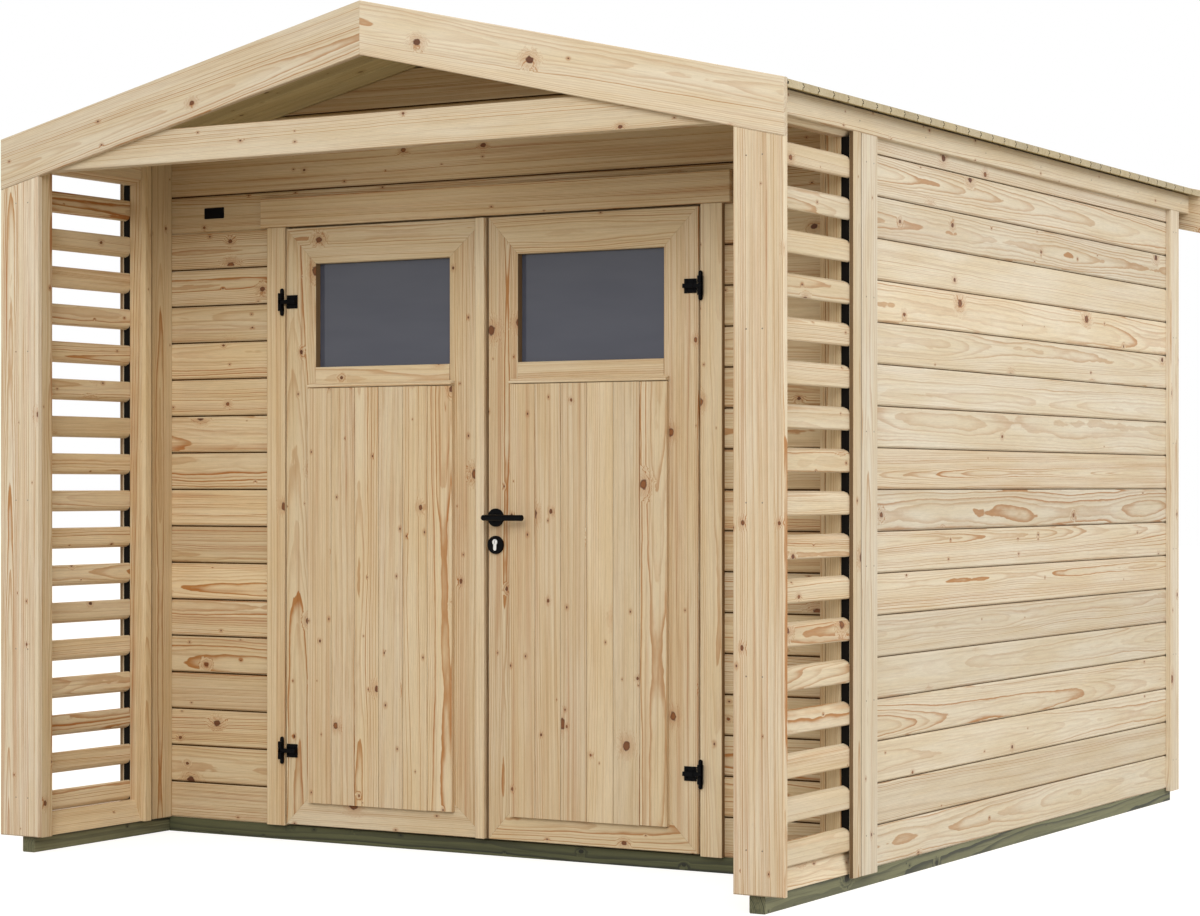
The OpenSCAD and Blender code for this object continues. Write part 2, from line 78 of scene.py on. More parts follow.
class Graph:
    """A short way to write the nodes of a material or a world."""

    def __init__(self, owner):
        owner.use_nodes = True
        self.owner, self.tree = owner, owner.node_tree
        self.tree.nodes.clear()

    def add(self, kind, inputs=None, **settings):
        node = self.tree.nodes.new(kind)
        for key, value in settings.items():
            setattr(node, key, value)
        for key, value in (inputs or {}).items():
            if isinstance(value, bpy.types.NodeSocket):
                self.tree.links.new(value, node.inputs[key])
            else:
                node.inputs[key].default_value = value
        return node

    def math(self, operation, a, b=0.0, clamp=False):
        return self.add("ShaderNodeMath", {0: a, 1: b}, operation=operation, use_clamp=clamp).outputs[0]

    def times(self, a, b, clamp=False):
        return self.math("MULTIPLY", a, b, clamp)

    def vec(self, operation, a, b):
        return self.add("ShaderNodeVectorMath", {0: a, 1: b}, operation=operation).outputs[0]

    def length(self, a):
        return self.add("ShaderNodeVectorMath", {0: a}, operation="LENGTH").outputs["Value"]

    def attribute(self, name, output="Vector"):
        return self.add("ShaderNodeAttribute", attribute_name=name).outputs[output]

    def local(self):
        """Place on the object, in metres."""
        return self.add("ShaderNodeTexCoord").outputs["Object"]

    def split(self, vector):
        return self.add("ShaderNodeSeparateXYZ", {0: vector}).outputs[:3]

    def join(self, x, y, z):
        return self.add("ShaderNodeCombineXYZ", {0: x, 1: y, 2: z}).outputs[0]

    def scale(self, value, low, high, to_low, to_high, kind="LINEAR"):
        return self.add("ShaderNodeMapRange", {0: value, 1: low, 2: high, 3: to_low, 4: to_high},
                        interpolation_type=kind).outputs[0]

    def ease(self, value, low, high, to_low=0.0, to_high=1.0):
        return self.scale(value, low, high, to_low, to_high, "SMOOTHSTEP")

    def noise(self, vector, size, detail=2.0, roughness=0.5):
        """Noise with its own grain size along each axis, in metres."""
        place = self.vec("MULTIPLY", vector, tuple(1 / s for s in size))
        return self.add("ShaderNodeTexNoise", {"Vector": place, "Scale": 1.0, "Detail": detail,
                                               "Roughness": roughness}).outputs[0]

    def mix(self, factor, a, b, blend="MIX"):
        return self.add("ShaderNodeMix", {0: factor, 6: a, 7: b}, data_type="RGBA",
                        blend_type=blend).outputs[2]

    def finish(self, colour, roughness, height=None, depth=0.0005, strength=0.3, **sockets):
        inputs = {"Base Color": colour, "Roughness": roughness}
        inputs.update(sockets)
        if height is not None:
            inputs["Normal"] = self.add("ShaderNodeBump", {"Strength": strength, "Distance": depth,
                                                           "Height": height}).outputs[0]
        shader = self.add("ShaderNodeBsdfPrincipled", inputs)
        self.add("ShaderNodeOutputMaterial", {0: shader.outputs[0]})
        return self.owner


def wood(name, early, late, heart, knot, pale, end_grain=False, ring_gap=0.0037, gloss=0.3):
    """Softwood cut from a log: rings round a pith, fibres, heart streaks and knots."""
    g = Graph(bpy.data.materials.new(name))
    ring, board = g.attribute("ring"), g.attribute("board")
    along, across, deep = g.split(ring)
    tint, streak, knotty = g.split(g.attribute("tone"))
    warm = g.attribute("warm", "Fac")
    knotty = g.times(knotty, g.math("SUBTRACT", 1.0, g.attribute("flank", "Fac")))

    def spots(cell, randomness, stretch):
        """Distance on the face from the nearest spot, of one to a cell, and three random values of it."""
        place = g.vec("MULTIPLY", board, (1 / cell[0], 1 / cell[1], 0.0))
        found = g.add("ShaderNodeTexVoronoi", {"Vector": place, "Scale": 1.0, "Randomness": randomness},
                      voronoi_dimensions="2D").outputs
        away = g.vec("SUBTRACT", place, found["Position"])
        away = g.vec("MULTIPLY", away, (cell[0] / stretch, cell[1], 0.0))
        return g.length(away), g.split(found["Color"])

    # Branch knots
    distance, (chance, size, darkness) = spots((0.34, 0.112), 0.9, 1.35)
    ragged = g.noise(board, (0.009, 0.009, 0.03), 2.0)
    distance = g.times(distance, g.scale(ragged, 0.25, 0.75, 0.78, 1.22))
    radius = g.scale(g.math("POWER", size, 1.6), 0.0, 1.0, 0.003, 0.0108)
    reach = g.math("DIVIDE", distance, radius)
    here = g.math("LESS_THAN", chance, knotty)
    core = g.times(here, g.ease(reach, 0.8, 1.05, 1.0, 0.0))
    rim = g.times(here, g.times(g.ease(reach, 0.55, 0.95), g.ease(reach, 1.0, 1.22, 1.0, 0.0)))
    halo = g.times(here, g.ease(reach, 0.9, 4.2, 1.0, 0.0))

    # Pin knots
    distance, (chance, size, _) = spots((0.17, 0.055), 1.0, 1.5)
    reach = g.math("DIVIDE", distance, g.scale(size, 0.0, 1.0, 0.0009, 0.0026))
    here = g.math("LESS_THAN", chance, g.times(knotty, 0.5))
    pin = g.times(here, g.ease(reach, 0.7, 1.2, 1.0, 0.0))
    pin_halo = g.times(here, g.ease(reach, 1.0, 4.5, 1.0, 0.0))

    # Rings, wandering along the board and flowing round the knots
    slow = g.math("SUBTRACT", g.noise(ring, (0.8, 0.1, 0.1), 1.0), 0.5)
    quick = g.math("SUBTRACT", g.noise(ring, (0.13, 0.03, 0.03), 3.0), 0.5)
    out = g.length(g.join(0.0, across, deep))
    for pull, amount in ((slow, 0.024), (quick, 0.0042), (halo, g.times(radius, 1.4)), (pin_halo, 0.0022)):
        out = g.math("ADD", out, g.times(pull, amount))
    turn = g.math("DIVIDE", out, ring_gap)
    part = g.math("FRACT", turn)
    year = g.add("ShaderNodeTexWhiteNoise", {"W": g.math("FLOOR", turn)}, noise_dimensions="1D")
    strong, orange, _ = g.split(year.outputs["Color"])
    spell = g.ease(g.noise(g.join(g.times(turn, 0.17), g.times(along, 0.3), 0.0),
                           (1.0, 1.0, 1.0), 1.0), 0.32, 0.68, 0.45, 1.35)
    late_wood = g.math("ADD", g.times(g.ease(part, 0.0, 0.85), 0.22),
                       g.times(g.ease(part, 0.42, 0.9), 0.78))
    late_wood = g.times(late_wood, g.ease(part, 0.94, 1.0, 1.0, 0.0))
    late_wood = g.times(late_wood, g.scale(g.math("POWER", strong, 1.8), 0.0, 1.0, 0.16, 1.15))
    late_wood = g.times(late_wood, spell, True)

    # Fibres, resin ducts and long stains
    fibre = g.noise(ring, (0.05, 0.0017, 0.0017), 2.0, 0.6)
    ducts = g.ease(g.noise(ring, (0.012, 0.0006, 0.0006), 0.0), 0.68, 0.8)
    cloud = g.noise(ring, (0.4, 0.05, 0.05), 2.0)
    stain = g.noise(ring, (0.9, 0.0065, 0.0065), 2.0)
    patch = g.noise(ring, (0.9, 0.017, 0.017), 2.0)

    # Colour, layer on layer
    colour = g.mix(g.ease(cloud, 0.3, 0.7), early, pale)
    band = g.mix(g.times(orange, 0.55), late, heart)
    shade = g.mix(g.times(darkness, 0.55), knot, heart)
    contrast = g.scale(streak, 0.0, 0.9, 0.66, 1.5)
    darkened = g.times(g.ease(stain, 0.54, 0.72), g.scale(streak, 0.0, 1.0, 0.16, 0.5))
    streaky = g.times(g.ease(patch, 0.5, 0.7), streak)
    streaky = g.times(streaky, g.scale(late_wood, 0.0, 0.8, 0.3, 1.0), True)
    glow = g.times(halo, g.scale(late_wood, 0.0, 0.8, 0.3, 0.62))
    for amount, layer in ((g.times(late_wood, contrast, True), band), (darkened, late), (streaky, heart),
                          (glow, heart), (g.times(pin_halo, 0.45), heart), (g.times(core, 0.94), shade),
                          (g.times(rim, 0.72), knot), (g.times(pin, 0.9), knot)):
        colour = g.mix(amount, colour, layer)

    # Light and dark, warm and cool; a timber's tint and warmth are partly painted light and shade
    value = g.scale(fibre, 0.25, 0.75, 0.91, 1.07)
    for change in ((stain, 0.3, 0.7, 1.03, 0.96), (ducts, 0.0, 1.0, 1.0, 0.88),
                   (tint, -1.0, 1.0, 0.86, 1.09)):
        value = g.times(value, g.scale(*change))
    if end_grain:
        value = g.times(value, 0.84)
    green = g.times(value, g.scale(warm, -1.0, 1.0, 1.06, 0.94))
    blue = g.times(value, g.scale(warm, -1.0, 1.0, 1.18, 0.82))
    grade = g.add("ShaderNodeCombineColor", {0: value, 1: green, 2: blue}).outputs[0]
    colour = g.mix(1.0, colour, grade, "MULTIPLY")
    rough = g.scale(late_wood, 0.0, 1.0, 0.68, 0.56)
    return g.finish(colour, rough, fibre, 0.0005, 0.4, **{"Specular IOR Level": gloss})


def iron(name):
    """Black powder-coated ironmongery with a fine orange-peel skin."""
    g = Graph(bpy.data.materials.new(name))
    place = g.local()
    skin = g.noise(place, (0.0012, 0.0012, 0.0012), 2.0)
    dust = g.noise(place, (0.03, 0.03, 0.03), 3.0)
    colour = g.mix(g.ease(dust, 0.35, 0.75), linear(5, 5, 7), linear(11, 11, 13))
    rough = g.scale(dust, 0.3, 0.7, 0.32, 0.45)
    return g.finish(colour, rough, skin, 0.0002, 0.25, **{"Specular IOR Level": 0.06})


def steel(name):
    """Nickel-plated brass with faint turning marks."""
    g = Graph(bpy.data.materials.new(name))
    marks = g.noise(g.local(), (0.02, 0.02, 0.0004), 2.0)
    colour = g.mix(marks, linear(226, 226, 224), linear(206, 205, 202))
    rough = g.scale(marks, 0.3, 0.7, 0.24, 0.36)
    return g.finish(colour, rough, marks, 0.0001, 0.15, Metallic=0.85)


def zinc(name):
    """Weathered zinc on nail heads."""
    g = Graph(bpy.data.materials.new(name))
    spots = g.noise(g.local(), (0.004, 0.004, 0.004), 2.0)
    colour = g.mix(spots, linear(122, 112, 98), linear(150, 138, 120))
    return g.finish(colour, 0.6, spots, 0.0001, 0.1, Metallic=0.3)


def pane(name):
    """Clear acrylic pane; its slate grey base colour is painted shade of the dark room behind it."""
    g = Graph(bpy.data.materials.new(name))
    place = g.local()
    waves = g.noise(place, (0.5, 0.5, 0.3), 1.0)
    smear = g.noise(place, (0.3, 0.3, 0.06), 2.0)
    colour = g.mix(g.ease(smear, 0.3, 0.75), linear(94, 97, 110), linear(89, 92, 106))
    rough = g.scale(smear, 0.3, 0.7, 0.03, 0.06)
    return g.finish(colour, rough, waves, 0.001, 0.05, **{"Transmission Weight": 0.3, "IOR": 1.45})


def palette(*colours):
    """Colours of a wood, from sRGB values of 0 to 255."""
    return dict(zip(("early", "late", "heart", "knot", "pale"), [linear(*c) for c in colours]))


PINE = palette((221, 202, 168), (181, 134, 83), (172, 108, 54), (84, 42, 26), (227, 212, 184))
GREEN = palette((113, 113, 86), (52, 54, 43), (64, 65, 50), (30, 30, 26), (125, 125, 97))
# Treated pine in painted shade: a darker copy of GREEN for the bearers that stand in shade
PAINTED_SHADE_GREEN = palette((83, 84, 58), (41, 43, 31), (50, 51, 36), (26, 26, 20), (92, 93, 65))
OLIVE = palette((190, 176, 132), (158, 140, 98), (146, 122, 78), (96, 76, 52), (198, 186, 144))
CREAM = palette((184, 171, 141), (164, 148, 116), (156, 136, 102), (100, 80, 56), (191, 179, 151))
# GAP and SEAM browns are painted shade: faces inside joints, reveals, gaps and flanks that lie in shade take
# them, GAP where the shade is deeper
GAP = palette((84, 61, 37), (68, 48, 29), (70, 47, 27), (46, 32, 21), (92, 68, 43))
SEAM = palette((128, 104, 76), (108, 84, 58), (106, 78, 50), (66, 46, 32), (138, 114, 86))
# Near black: painted shade for the slots of the screens and the joints of the roof boards
DARK = palette((20, 17, 14), (12, 11, 9), (15, 13, 11), (8, 8, 7), (24, 21, 18))

pine = wood("pine", **PINE)
pine_end = wood("pine_end", end_grain=True, **PINE)
green = wood("treated_pine", ring_gap=0.0075, **GREEN)
green_end = wood("treated_pine_end", end_grain=True, **GREEN)
painted_shade_green = wood("shaded_treated_pine", ring_gap=0.0075, **PAINTED_SHADE_GREEN)
roof_pine = wood("roof_pine", **OLIVE)
roof_end = wood("roof_pine_end", **CREAM)
# Near-black pine in painted shade, for deep slots and joints
darkened = wood("painted_shade_pine", gloss=0.05, **DARK)
# Joint faces in painted shade, darker and lighter
joint_face = wood("pine_joint", gloss=0.1, **GAP)
seam_face = wood("pine_seam", gloss=0.1, **SEAM)
black = iron("black_iron")
nickel = steel("nickel")
dull = zinc("zinc")
glass = pane("pane")

PINE_FACES = (pine, pine_end, joint_face)
WALL_FACES = (pine, pine_end, seam_face)
GREEN_FACES = (green, green_end)
PAINTED_SHADE_GREEN_FACES = (painted_shade_green, green_end)
# The roof boards' joint faces take the near-black painted shade
ROOF_FACES = (roof_pine, roof_end, darkened)
PAINTED_SHADE_FACES = (darkened, darkened)


# Timbers


def area(points):
    """Area of an outline, negative when it runs clockwise."""
    return sum(a[0] * b[1] - b[0] * a[1] for a, b in zip(points, points[1:] + points[:1])) / 2


def inset(points, distances):
    """A counter-clockwise outline with each edge moved inwards by its own distance."""
    n = len(points)
    lines = []
    for i in range(n):
        ax, ay = points[i]
        bx, by = points[(i + 1) % n]
        long = hypot(bx - ax, by - ay)
        dx, dy = (bx - ax) / long, (by - ay) / long
        d = distances[i] if isinstance(distances, (list, tuple)) else distances
        lines.append((ax - dy * d, ay + dx * d, dx, dy))
    moved = []
    for i in range(n):
        ax, ay, adx, ady = lines[i - 1]
        bx, by, bdx, bdy = lines[i]
        cross = adx * bdy - ady * bdx
        if abs(cross) < 1e-9:
            moved.append((bx, by))
        else:
            t = ((bx - ax) * bdy - (by - ay) * bdx) / cross
            moved.append((ax + adx * t, ay + ady * t))
    return moved


def oblong(u0, u1, v0, v1):
    """A rectangle, counter-clockwise."""
    return [(u0, v0), (u1, v0), (u1, v1), (u0, v1)]


def rounded(v0, v1, w0, w1, radius=0.0018, steps=2):
    """A rectangle with eased corners, counter-clockwise."""
    radii = radius if isinstance(radius, (list, tuple)) else (radius,) * 4
    corners = ((v0, w0, 180), (v1, w0, 270), (v1, w1, 0), (v0, w1, 90))
    points = []
    for (v, w, turn), r in zip(corners, radii):
        if r <= 0:
            points.append((v, w))
            continue
        cv = v + (r if v == v0 else -r)
        cw = w + (r if w == w0 else -r)
        for k in range(steps + 1):
            a = radians(turn + 90 * k / steps)
            points.append((cv + r * cos(a), cw + r * sin(a)))
    return points


def tongued(v0, cover, thick, groove=GROOVE, back=0.001, slit=0.003):
    """Section of a tongue-and-groove board with bevelled face edges: v across it, w up to its face."""
    v1 = v0 + cover - slit
    t0, t1 = thick * 0.36, thick * 0.62
    play, nib = 0.0004, 0.001
    return [
        (v0 + back, 0), (v1 - back, 0), (v1, back), (v1, t0), (v1 + TONGUE - nib, t0),
        (v1 + TONGUE, t0 + nib), (v1 + TONGUE, t1 - nib), (v1 + TONGUE - nib, t1), (v1, t1),
        (v1, thick - groove), (v1 - groove, thick), (v0 + groove, thick), (v0, thick - groove),
        (v0, t1 + play), (v0 + TONGUE + play, t1 + play), (v0 + TONGUE + play, t0 - play),
        (v0, t0 - play), (v0, back),
    ]


# Edges of a tongued section inside the joint
TONGUED_JOINT = (7, 8, 12)


def loft(start, rings, n):
    """Faces from ring to ring of n points each, and a cap at each end."""
    faces = []
    for a in range(start, start + (rings - 1) * n, n):
        faces += [(a + i, a + (i + 1) % n, a + n + (i + 1) % n, a + n + i) for i in range(n)]
    last = start + (rings - 1) * n
    return faces + [tuple(range(start + n - 1, start - 1, -1)), tuple(range(last, last + n))]


def face_out(mesh):
    """Turn the faces of a mesh outwards."""
    bm = bmesh.new()
    bm.from_mesh(mesh)
    bmesh.ops.recalc_face_normals(bm, faces=bm.faces)
    bm.to_mesh(mesh)
    bm.free()


def add_object(name, data):
    """A new object, in the scene."""
    made = bpy.data.objects.new(name, data)
    bpy.context.scene.collection.objects.link(made)
    return made


def show(name, mesh, body, slot, nodes):
    """Add a piece that rides a body and may replace nodes."""
    piece = add_object(name, mesh)
    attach(piece, body)
    if nodes:
        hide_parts(*nodes)


class Piece:
    """Timbers gathered into one mesh. Each has its own log, tone and knots. A piece's warmth and tint are
    partly painted light and shade: warmer and darker for timbers in the shade of the porch, cooler for the
    lamp-lit outer walls.
    """

    def __init__(self, name, warm=0.0, tint=0.0, spread=0.4):
        self.name, self.warmth, self.lightness, self.spread = name, warm, tint, spread
        self.rng = random.Random(name)
        self.points, self.faces, self.marks, self.grains = [], [], [], []

    def grain(self, middle, streak=None, knots=None, tint=None, flat=None, warm=None):
        """How one timber lies in its log."""
        r = self.rng
        quarter = r.random() < 0.3 if flat is None else not flat
        side = r.choice((-1, 1))
        if quarter:
            pith = (side * r.uniform(0.07, 0.16), r.uniform(-0.02, 0.02))
        else:
            pith = (r.uniform(-0.035, 0.035), side * r.uniform(0.02, 0.1))
        lean = (r.gauss(0, 0.006), r.gauss(0, 0.012))
        scale = r.uniform(0.6, 1.3)
        shift = r.uniform(0, 500)
        tone = (
            max(-1, min(1, r.gauss(self.lightness if tint is None else tint, self.spread))),
            0.1 + (r.random() ** 1.6) * 0.8 if streak is None else streak,
            r.uniform(0.12, 0.75) if knots is None else knots,
        )
        cell_shift = r.uniform(0, 50)
        warm = max(-1, min(1, r.gauss(self.warmth if warm is None else warm, 0.14)))

        def place(u, v, w):
            run = u - middle[0]
            ring = (u + shift, (v - middle[1] - pith[0] + lean[0] * run) * scale,
                    (w - middle[2] - pith[1] + lean[1] * run) * scale)
            return ring, (u + shift, v - middle[1] + cell_shift, w), tone, warm
        return place

    def skin(self, frame_axes, rings, cap, mark, **grain):
        """A solid through rings of points. A mark is a face's material and 1 on a flank, where knots stop."""
        origin, u_axis, v_axis, w_axis = frame_axes
        local = [point for ring in rings for point in ring]
        place = self.grain([(min(c) + max(c)) / 2 for c in zip(*local)], **grain)
        n = len(rings[0])
        self.faces += loft(len(self.points), len(rings), n)
        self.marks += [mark(k, i, (i + 1) % n) for k in range(len(rings) - 1) for i in range(n)] + [cap, cap]
        for u, v, w in local:
            self.points.append(origin + u_axis * u + v_axis * v + w_axis * w)
            self.grains.append(place(u, v, w))

    def timber(self, frame_axes, section, u0, u1, ease=0.0012, joints=(), **grain):
        """A section in v and w drawn along u, between ends that may lean. Its joints are dark edges: painted
        shade.
        """
        section = list(section)
        if area(section) < 0:
            section.reverse()
        low = u0 if callable(u0) else lambda v, w: u0
        high = u1 if callable(u1) else lambda v, w: u1
        rings = [[(low(v, w) + ease, v, w) for v, w in section],
                 [(high(v, w) - ease, v, w) for v, w in section]]
        if ease:
            small = inset(section, ease)
            rings.insert(0, [(low(v, w), v, w) for v, w in small])
            rings.append([(high(v, w), v, w) for v, w in small])

        def mark(k, i, j):
            if ease and k != 1:
                return 1, 1.0
            steep = abs(section[j][1] - section[i][1]) > abs(section[j][0] - section[i][0])
            return 2 if i in joints else 0, 1.0 if steep else 0.0
        self.skin(frame_axes, rings, (1, 1.0), mark, **grain)

    def plank(self, frame_axes, outline, w0, w1, bevel=0.0015, bevels=None, back=0.0008, joint=None,
              **grain):
        """An outline in u and v, bevelled on its face at w1 and its back at w0. Its joint is a dark edge:
        painted shade.
        """
        outline = list(outline)
        if area(outline) < 0:
            outline.reverse()
            if bevels:
                bevels = list(reversed(bevels[:-1])) + [bevels[-1]]
        face = bevels or [bevel] * len(outline)
        deep = max(face)
        rings = [
            [(u, v, w0) for u, v in inset(outline, back)], [(u, v, w0 + back) for u, v in outline],
            [(u, v, w1 - deep) for u, v in outline], [(u, v, w1) for u, v in inset(outline, face)],
        ]

        def mark(k, i, j):
            du, dv = outline[j][0] - outline[i][0], outline[j][1] - outline[i][1]
            kind = 1 if abs(dv) > 0.3 * abs(du) else 0
            return 2 if i == joint and k == 1 else kind, 1.0 if k == 1 else 0.0
        self.skin(frame_axes, rings, (0, 0.0), mark, **grain)

    def build(self, nodes, materials=PINE_FACES, slot="pine", body="shed"):
        """The piece, in place of nodes."""
        mesh = bpy.data.meshes.new(self.name)
        mesh.from_pydata(self.points, [], self.faces)
        kinds, flanks = zip(*self.marks)
        ring, board, tone, warm = zip(*self.grains)
        mesh.polygons.foreach_set("material_index", kinds)
        for name, values in (("ring", ring), ("board", board), ("tone", tone)):
            layer = mesh.attributes.new(name, "FLOAT_VECTOR", "POINT")
            layer.data.foreach_set("vector", [c for value in values for c in value])
        mesh.attributes.new("warm", "FLOAT", "POINT").data.foreach_set("value", warm)
        mesh.attributes.new("flank", "FLOAT", "FACE").data.foreach_set("value", flanks)
        for material in materials:
            mesh.materials.append(material)
        face_out(mesh)
        show(self.name, mesh, body, slot, nodes)


# Stations taken from the frame
wall_low, wall_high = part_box("right_wall")
FRAME_X, FACE_X = wall_low.x, wall_high.x
BOARD = FACE_X - FRAME_X
ROOM_X = FRAME_X - STUD
CORNER_X = FACE_X + BOARD
POST_Y, REAR_Y = wall_low.y, wall_high.y
SILL_Z = wall_low.z
deck_low, deck_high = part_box("right_roof_deck")
HALF_ROOF = deck_high.x
front_low, front_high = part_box("front_wall_left")
WALL_Y = front_low.y
OPENING_Z = front_high.z
OPENING_X = -front_high.x
screen_low, screen_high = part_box("right_screen")
SCREEN_Y0, SCREEN_Y1 = screen_low.y, screen_high.y
EAVES_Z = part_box("right_eaves_board")[0].z


def under(x):
    """Height of the roof boards' underside at x."""
    return deck_low.z + RISE * (HALF_ROOF - abs(x)) - ROOF_PLAY


def side_axes(side, x):
    """u to the rear, v up, w outwards from a plane at x on one side."""
    return X * side * x, Y, Z, X * side


def upright_axes(side, x):
    """u up, v to the rear, w outwards from a plane at x on one side."""
    return X * side * x, Z, Y, X * side


def front_axes(y):
    """u to the right, v up, w to the front from a plane at y."""
    return Y * y, X, Z, -Y


def rear_axes(y):
    """u to the right, v up, w to the rear from a plane at y."""
    return Y * y, X, Z, Y


def stile_axes(y, side=1):
    """u up, v to the right or to one side, w to the front from a plane at y."""
    return Y * y, Z, X * side, -Y


def slope_axes(side):
    """Directions down one roof slope and square to it."""
    run, fall = cos(ROOF_PITCH), sin(ROOF_PITCH)
    return Vector((side * run, 0, -fall)), Vector((side * fall, 0, run))


SIDES = (("left", -1), ("right", 1))


def bearers():
    # Painted light and shade: the lamp-lit side bearers are tinted lighter, and the front and rear bearers
    # take the darker painted-shade copy
    for name in ("left_bearer", "right_bearer"):
        low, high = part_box(name)
        p = Piece(name + "_timber")
        p.timber((Vector(), Y, Z, X), rounded(low.z, high.z, low.x, high.x, 0.003), low.y, high.y,
                 knots=0.6, streak=0.6, tint=0.7, flat=True, warm=0.4)
        p.build([name], GREEN_FACES, "treated_pine")
    for name in ("front_bearer", "rear_bearer"):
        low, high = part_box(name)
        p = Piece(name + "_timber")
        p.timber((Vector(), X, Z, -Y), rounded(low.z, high.z, -high.y, -low.y, 0.003), low.x, high.x,
                 knots=0.6, streak=0.4, tint=0.0, flat=True)
        p.build([name], PAINTED_SHADE_GREEN_FACES, "treated_pine")
    low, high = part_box("floor_joists")
    edge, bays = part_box("right_bearer")[0].x, 8
    p = Piece("floor_joist_timbers")
    for i in range(1, bays):
        x = -edge + 2 * edge / bays * i
        section = rounded(low.z, high.z, x - STUD / 2, x + STUD / 2, 0.003)
        p.timber((Vector(), Y, Z, X), section, low.y, high.y)
    p.build(["floor_joists"], GREEN_FACES, "treated_pine")


def floor():
    low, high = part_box("floor_boards")
    p = Piece("floor_planks", 0.2)
    count = ceil((high.y - low.y) / FLOOR_COVER)
    cover = (high.y - low.y - TONGUE) / count
    for i in range(count):
        section = tongued(low.y + i * cover, cover, high.z - low.z, 0.0012)
        p.timber((Z * low.z, X, Y, Z), section, low.x, high.x, joints=TONGUED_JOINT)
    p.build(["floor_boards"])


def level_boards(p, axes, count, start, end):
    """Tongued wall boards from the sill up."""
    for i in range(count):
        p.timber(axes, tongued(SILL_Z + i * WALL_COVER, WALL_COVER, BOARD), start, end, ease=0.0,
                 joints=TONGUED_JOINT, streak=0.05 + 0.35 * p.rng.random(), knots=p.rng.uniform(0.05, 0.4))


def side_walls():
    for name, side in SIDES:
        low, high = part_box(name + "_wall")
        # Painted light: cooler and a little darker boards stand in for the cool light on the outer walls
        p = Piece(name + "_wall_boards", -0.6, -0.35, 0.3)
        top = high.z - RISE * BOARD - PLAY
        count = int((top - SILL_Z) / WALL_COVER)
        axes = side_axes(side, FRAME_X)
        level_boards(p, axes, count, low.y, high.y)
        z = SILL_Z + count * WALL_COVER
        p.timber(axes, rounded(z, top, 0, BOARD, 0.001, 1), low.y, high.y, ease=0.0)
        p.build([name + "_wall"], WALL_FACES)


def slope_x(z):
    """Where the roof boards' underside comes down to a height."""
    return HALF_ROOF - (z - deck_low.z + ROOF_PLAY) / RISE


def gable_boards(p, axes, z0, limit, thick, slit=0.003, **grain):
    """Level boards up to the roof, cut round the ridge beam."""
    beam_low, beam_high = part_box("ridge_beam")
    beam_x, beam_z = beam_high.x + JOINT, beam_low.z - JOINT
    peak, least, shallow = under(beam_x), 0.004, 0.0004
    z, i = z0, round((z0 - SILL_Z) / WALL_COVER)
    while True:
        top = SILL_Z + (i + 1) * WALL_COVER - slit
        a, b = min(limit, slope_x(z)), min(limit, slope_x(top))
        if b < beam_x or top > peak:
            if z < peak - least:
                for side in (-1, 1):
                    corner = [(side * beam_x, z), (side * a, z), (side * beam_x, peak)]
                    p.plank(axes, corner, 0, thick, shallow, back=0.0003, **grain)
            break
        right = [(a, z), (b, top)]
        if a == limit and b < limit:
            right.insert(1, (limit, under(limit)))
        left = [(-u, v) for u, v in reversed(right)]
        if top > beam_z:
            notch = [(beam_x, top), (beam_x, beam_z), (-beam_x, beam_z), (-beam_x, top)]
            p.plank(axes, right + notch + left, 0, thick, GROOVE * 0.6, **grain)
            spans = ((-b, -beam_x), (beam_x, b))
        else:
            outline = right + left
            bevels = [GROOVE if abs(here[1] - there[1]) < 1e-6 else shallow
                      for here, there in zip(outline, outline[1:] + outline[:1])]
            p.plank(axes, outline, 0, thick, bevels=bevels, **grain)
            spans = ((-b, b),)
        # A strip in each slit between the boards, dark joint brown all round: painted shade in the slit
        fillet = oblong(top, top + slit, thick * 0.3, thick * 0.6)
        for start, end in spans:
            if end - start > 2 * slit / RISE:
                p.timber(axes, fillet, start + slit / RISE, end - slit / RISE, ease=0.0, joints=range(4))
        i += 1
        z = SILL_Z + i * WALL_COVER


def end_walls():
    low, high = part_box("rear_wall")
    # Painted light: cooler and darker, like the side walls
    p = Piece("rear_wall_boards", -0.55, -0.3)
    axes = rear_axes(low.y)
    count = int((under(high.x) - SILL_Z) / WALL_COVER)
    level_boards(p, axes, count, low.x, high.x)
    gable_boards(p, axes, SILL_Z + count * WALL_COVER, high.x, BOARD)
    p.build(["rear_wall"], WALL_FACES)

    axes, front_slit = front_axes(WALL_Y + BOARD), 0.0045
    for name in ("front_wall_left", "front_wall_right"):
        low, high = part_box(name)
        # Painted shade: warmer and darker in the porch, the right part darkest
        p = Piece(name + "_boards", 0.95, -0.3 if name.endswith("left") else -0.9)
        count = round((high.z - SILL_Z) / WALL_COVER)
        for i in range(count):
            last = i == count - 1
            z = SILL_Z + i * WALL_COVER
            section = rounded(z, high.z, 0, BOARD, (0.001, 0.001, GROOVE, GROOVE), 1) if last \
                else tongued(z, WALL_COVER, BOARD, slit=front_slit)
            p.timber(axes, section, low.x, high.x, ease=0.0, joints=() if last else TONGUED_JOINT,
                     streak=0.25 + 0.75 * p.rng.random())
        p.build([name])

    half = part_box("front_gable")[1].x
    # Painted shade: warmer and darker under the roof
    p = Piece("front_gable_boards", 1.0, -0.6)
    gable_boards(p, axes, OPENING_Z + PLAY, half, BOARD, front_slit, streak=0.8, flat=False)
    p.build(["front_gable"])


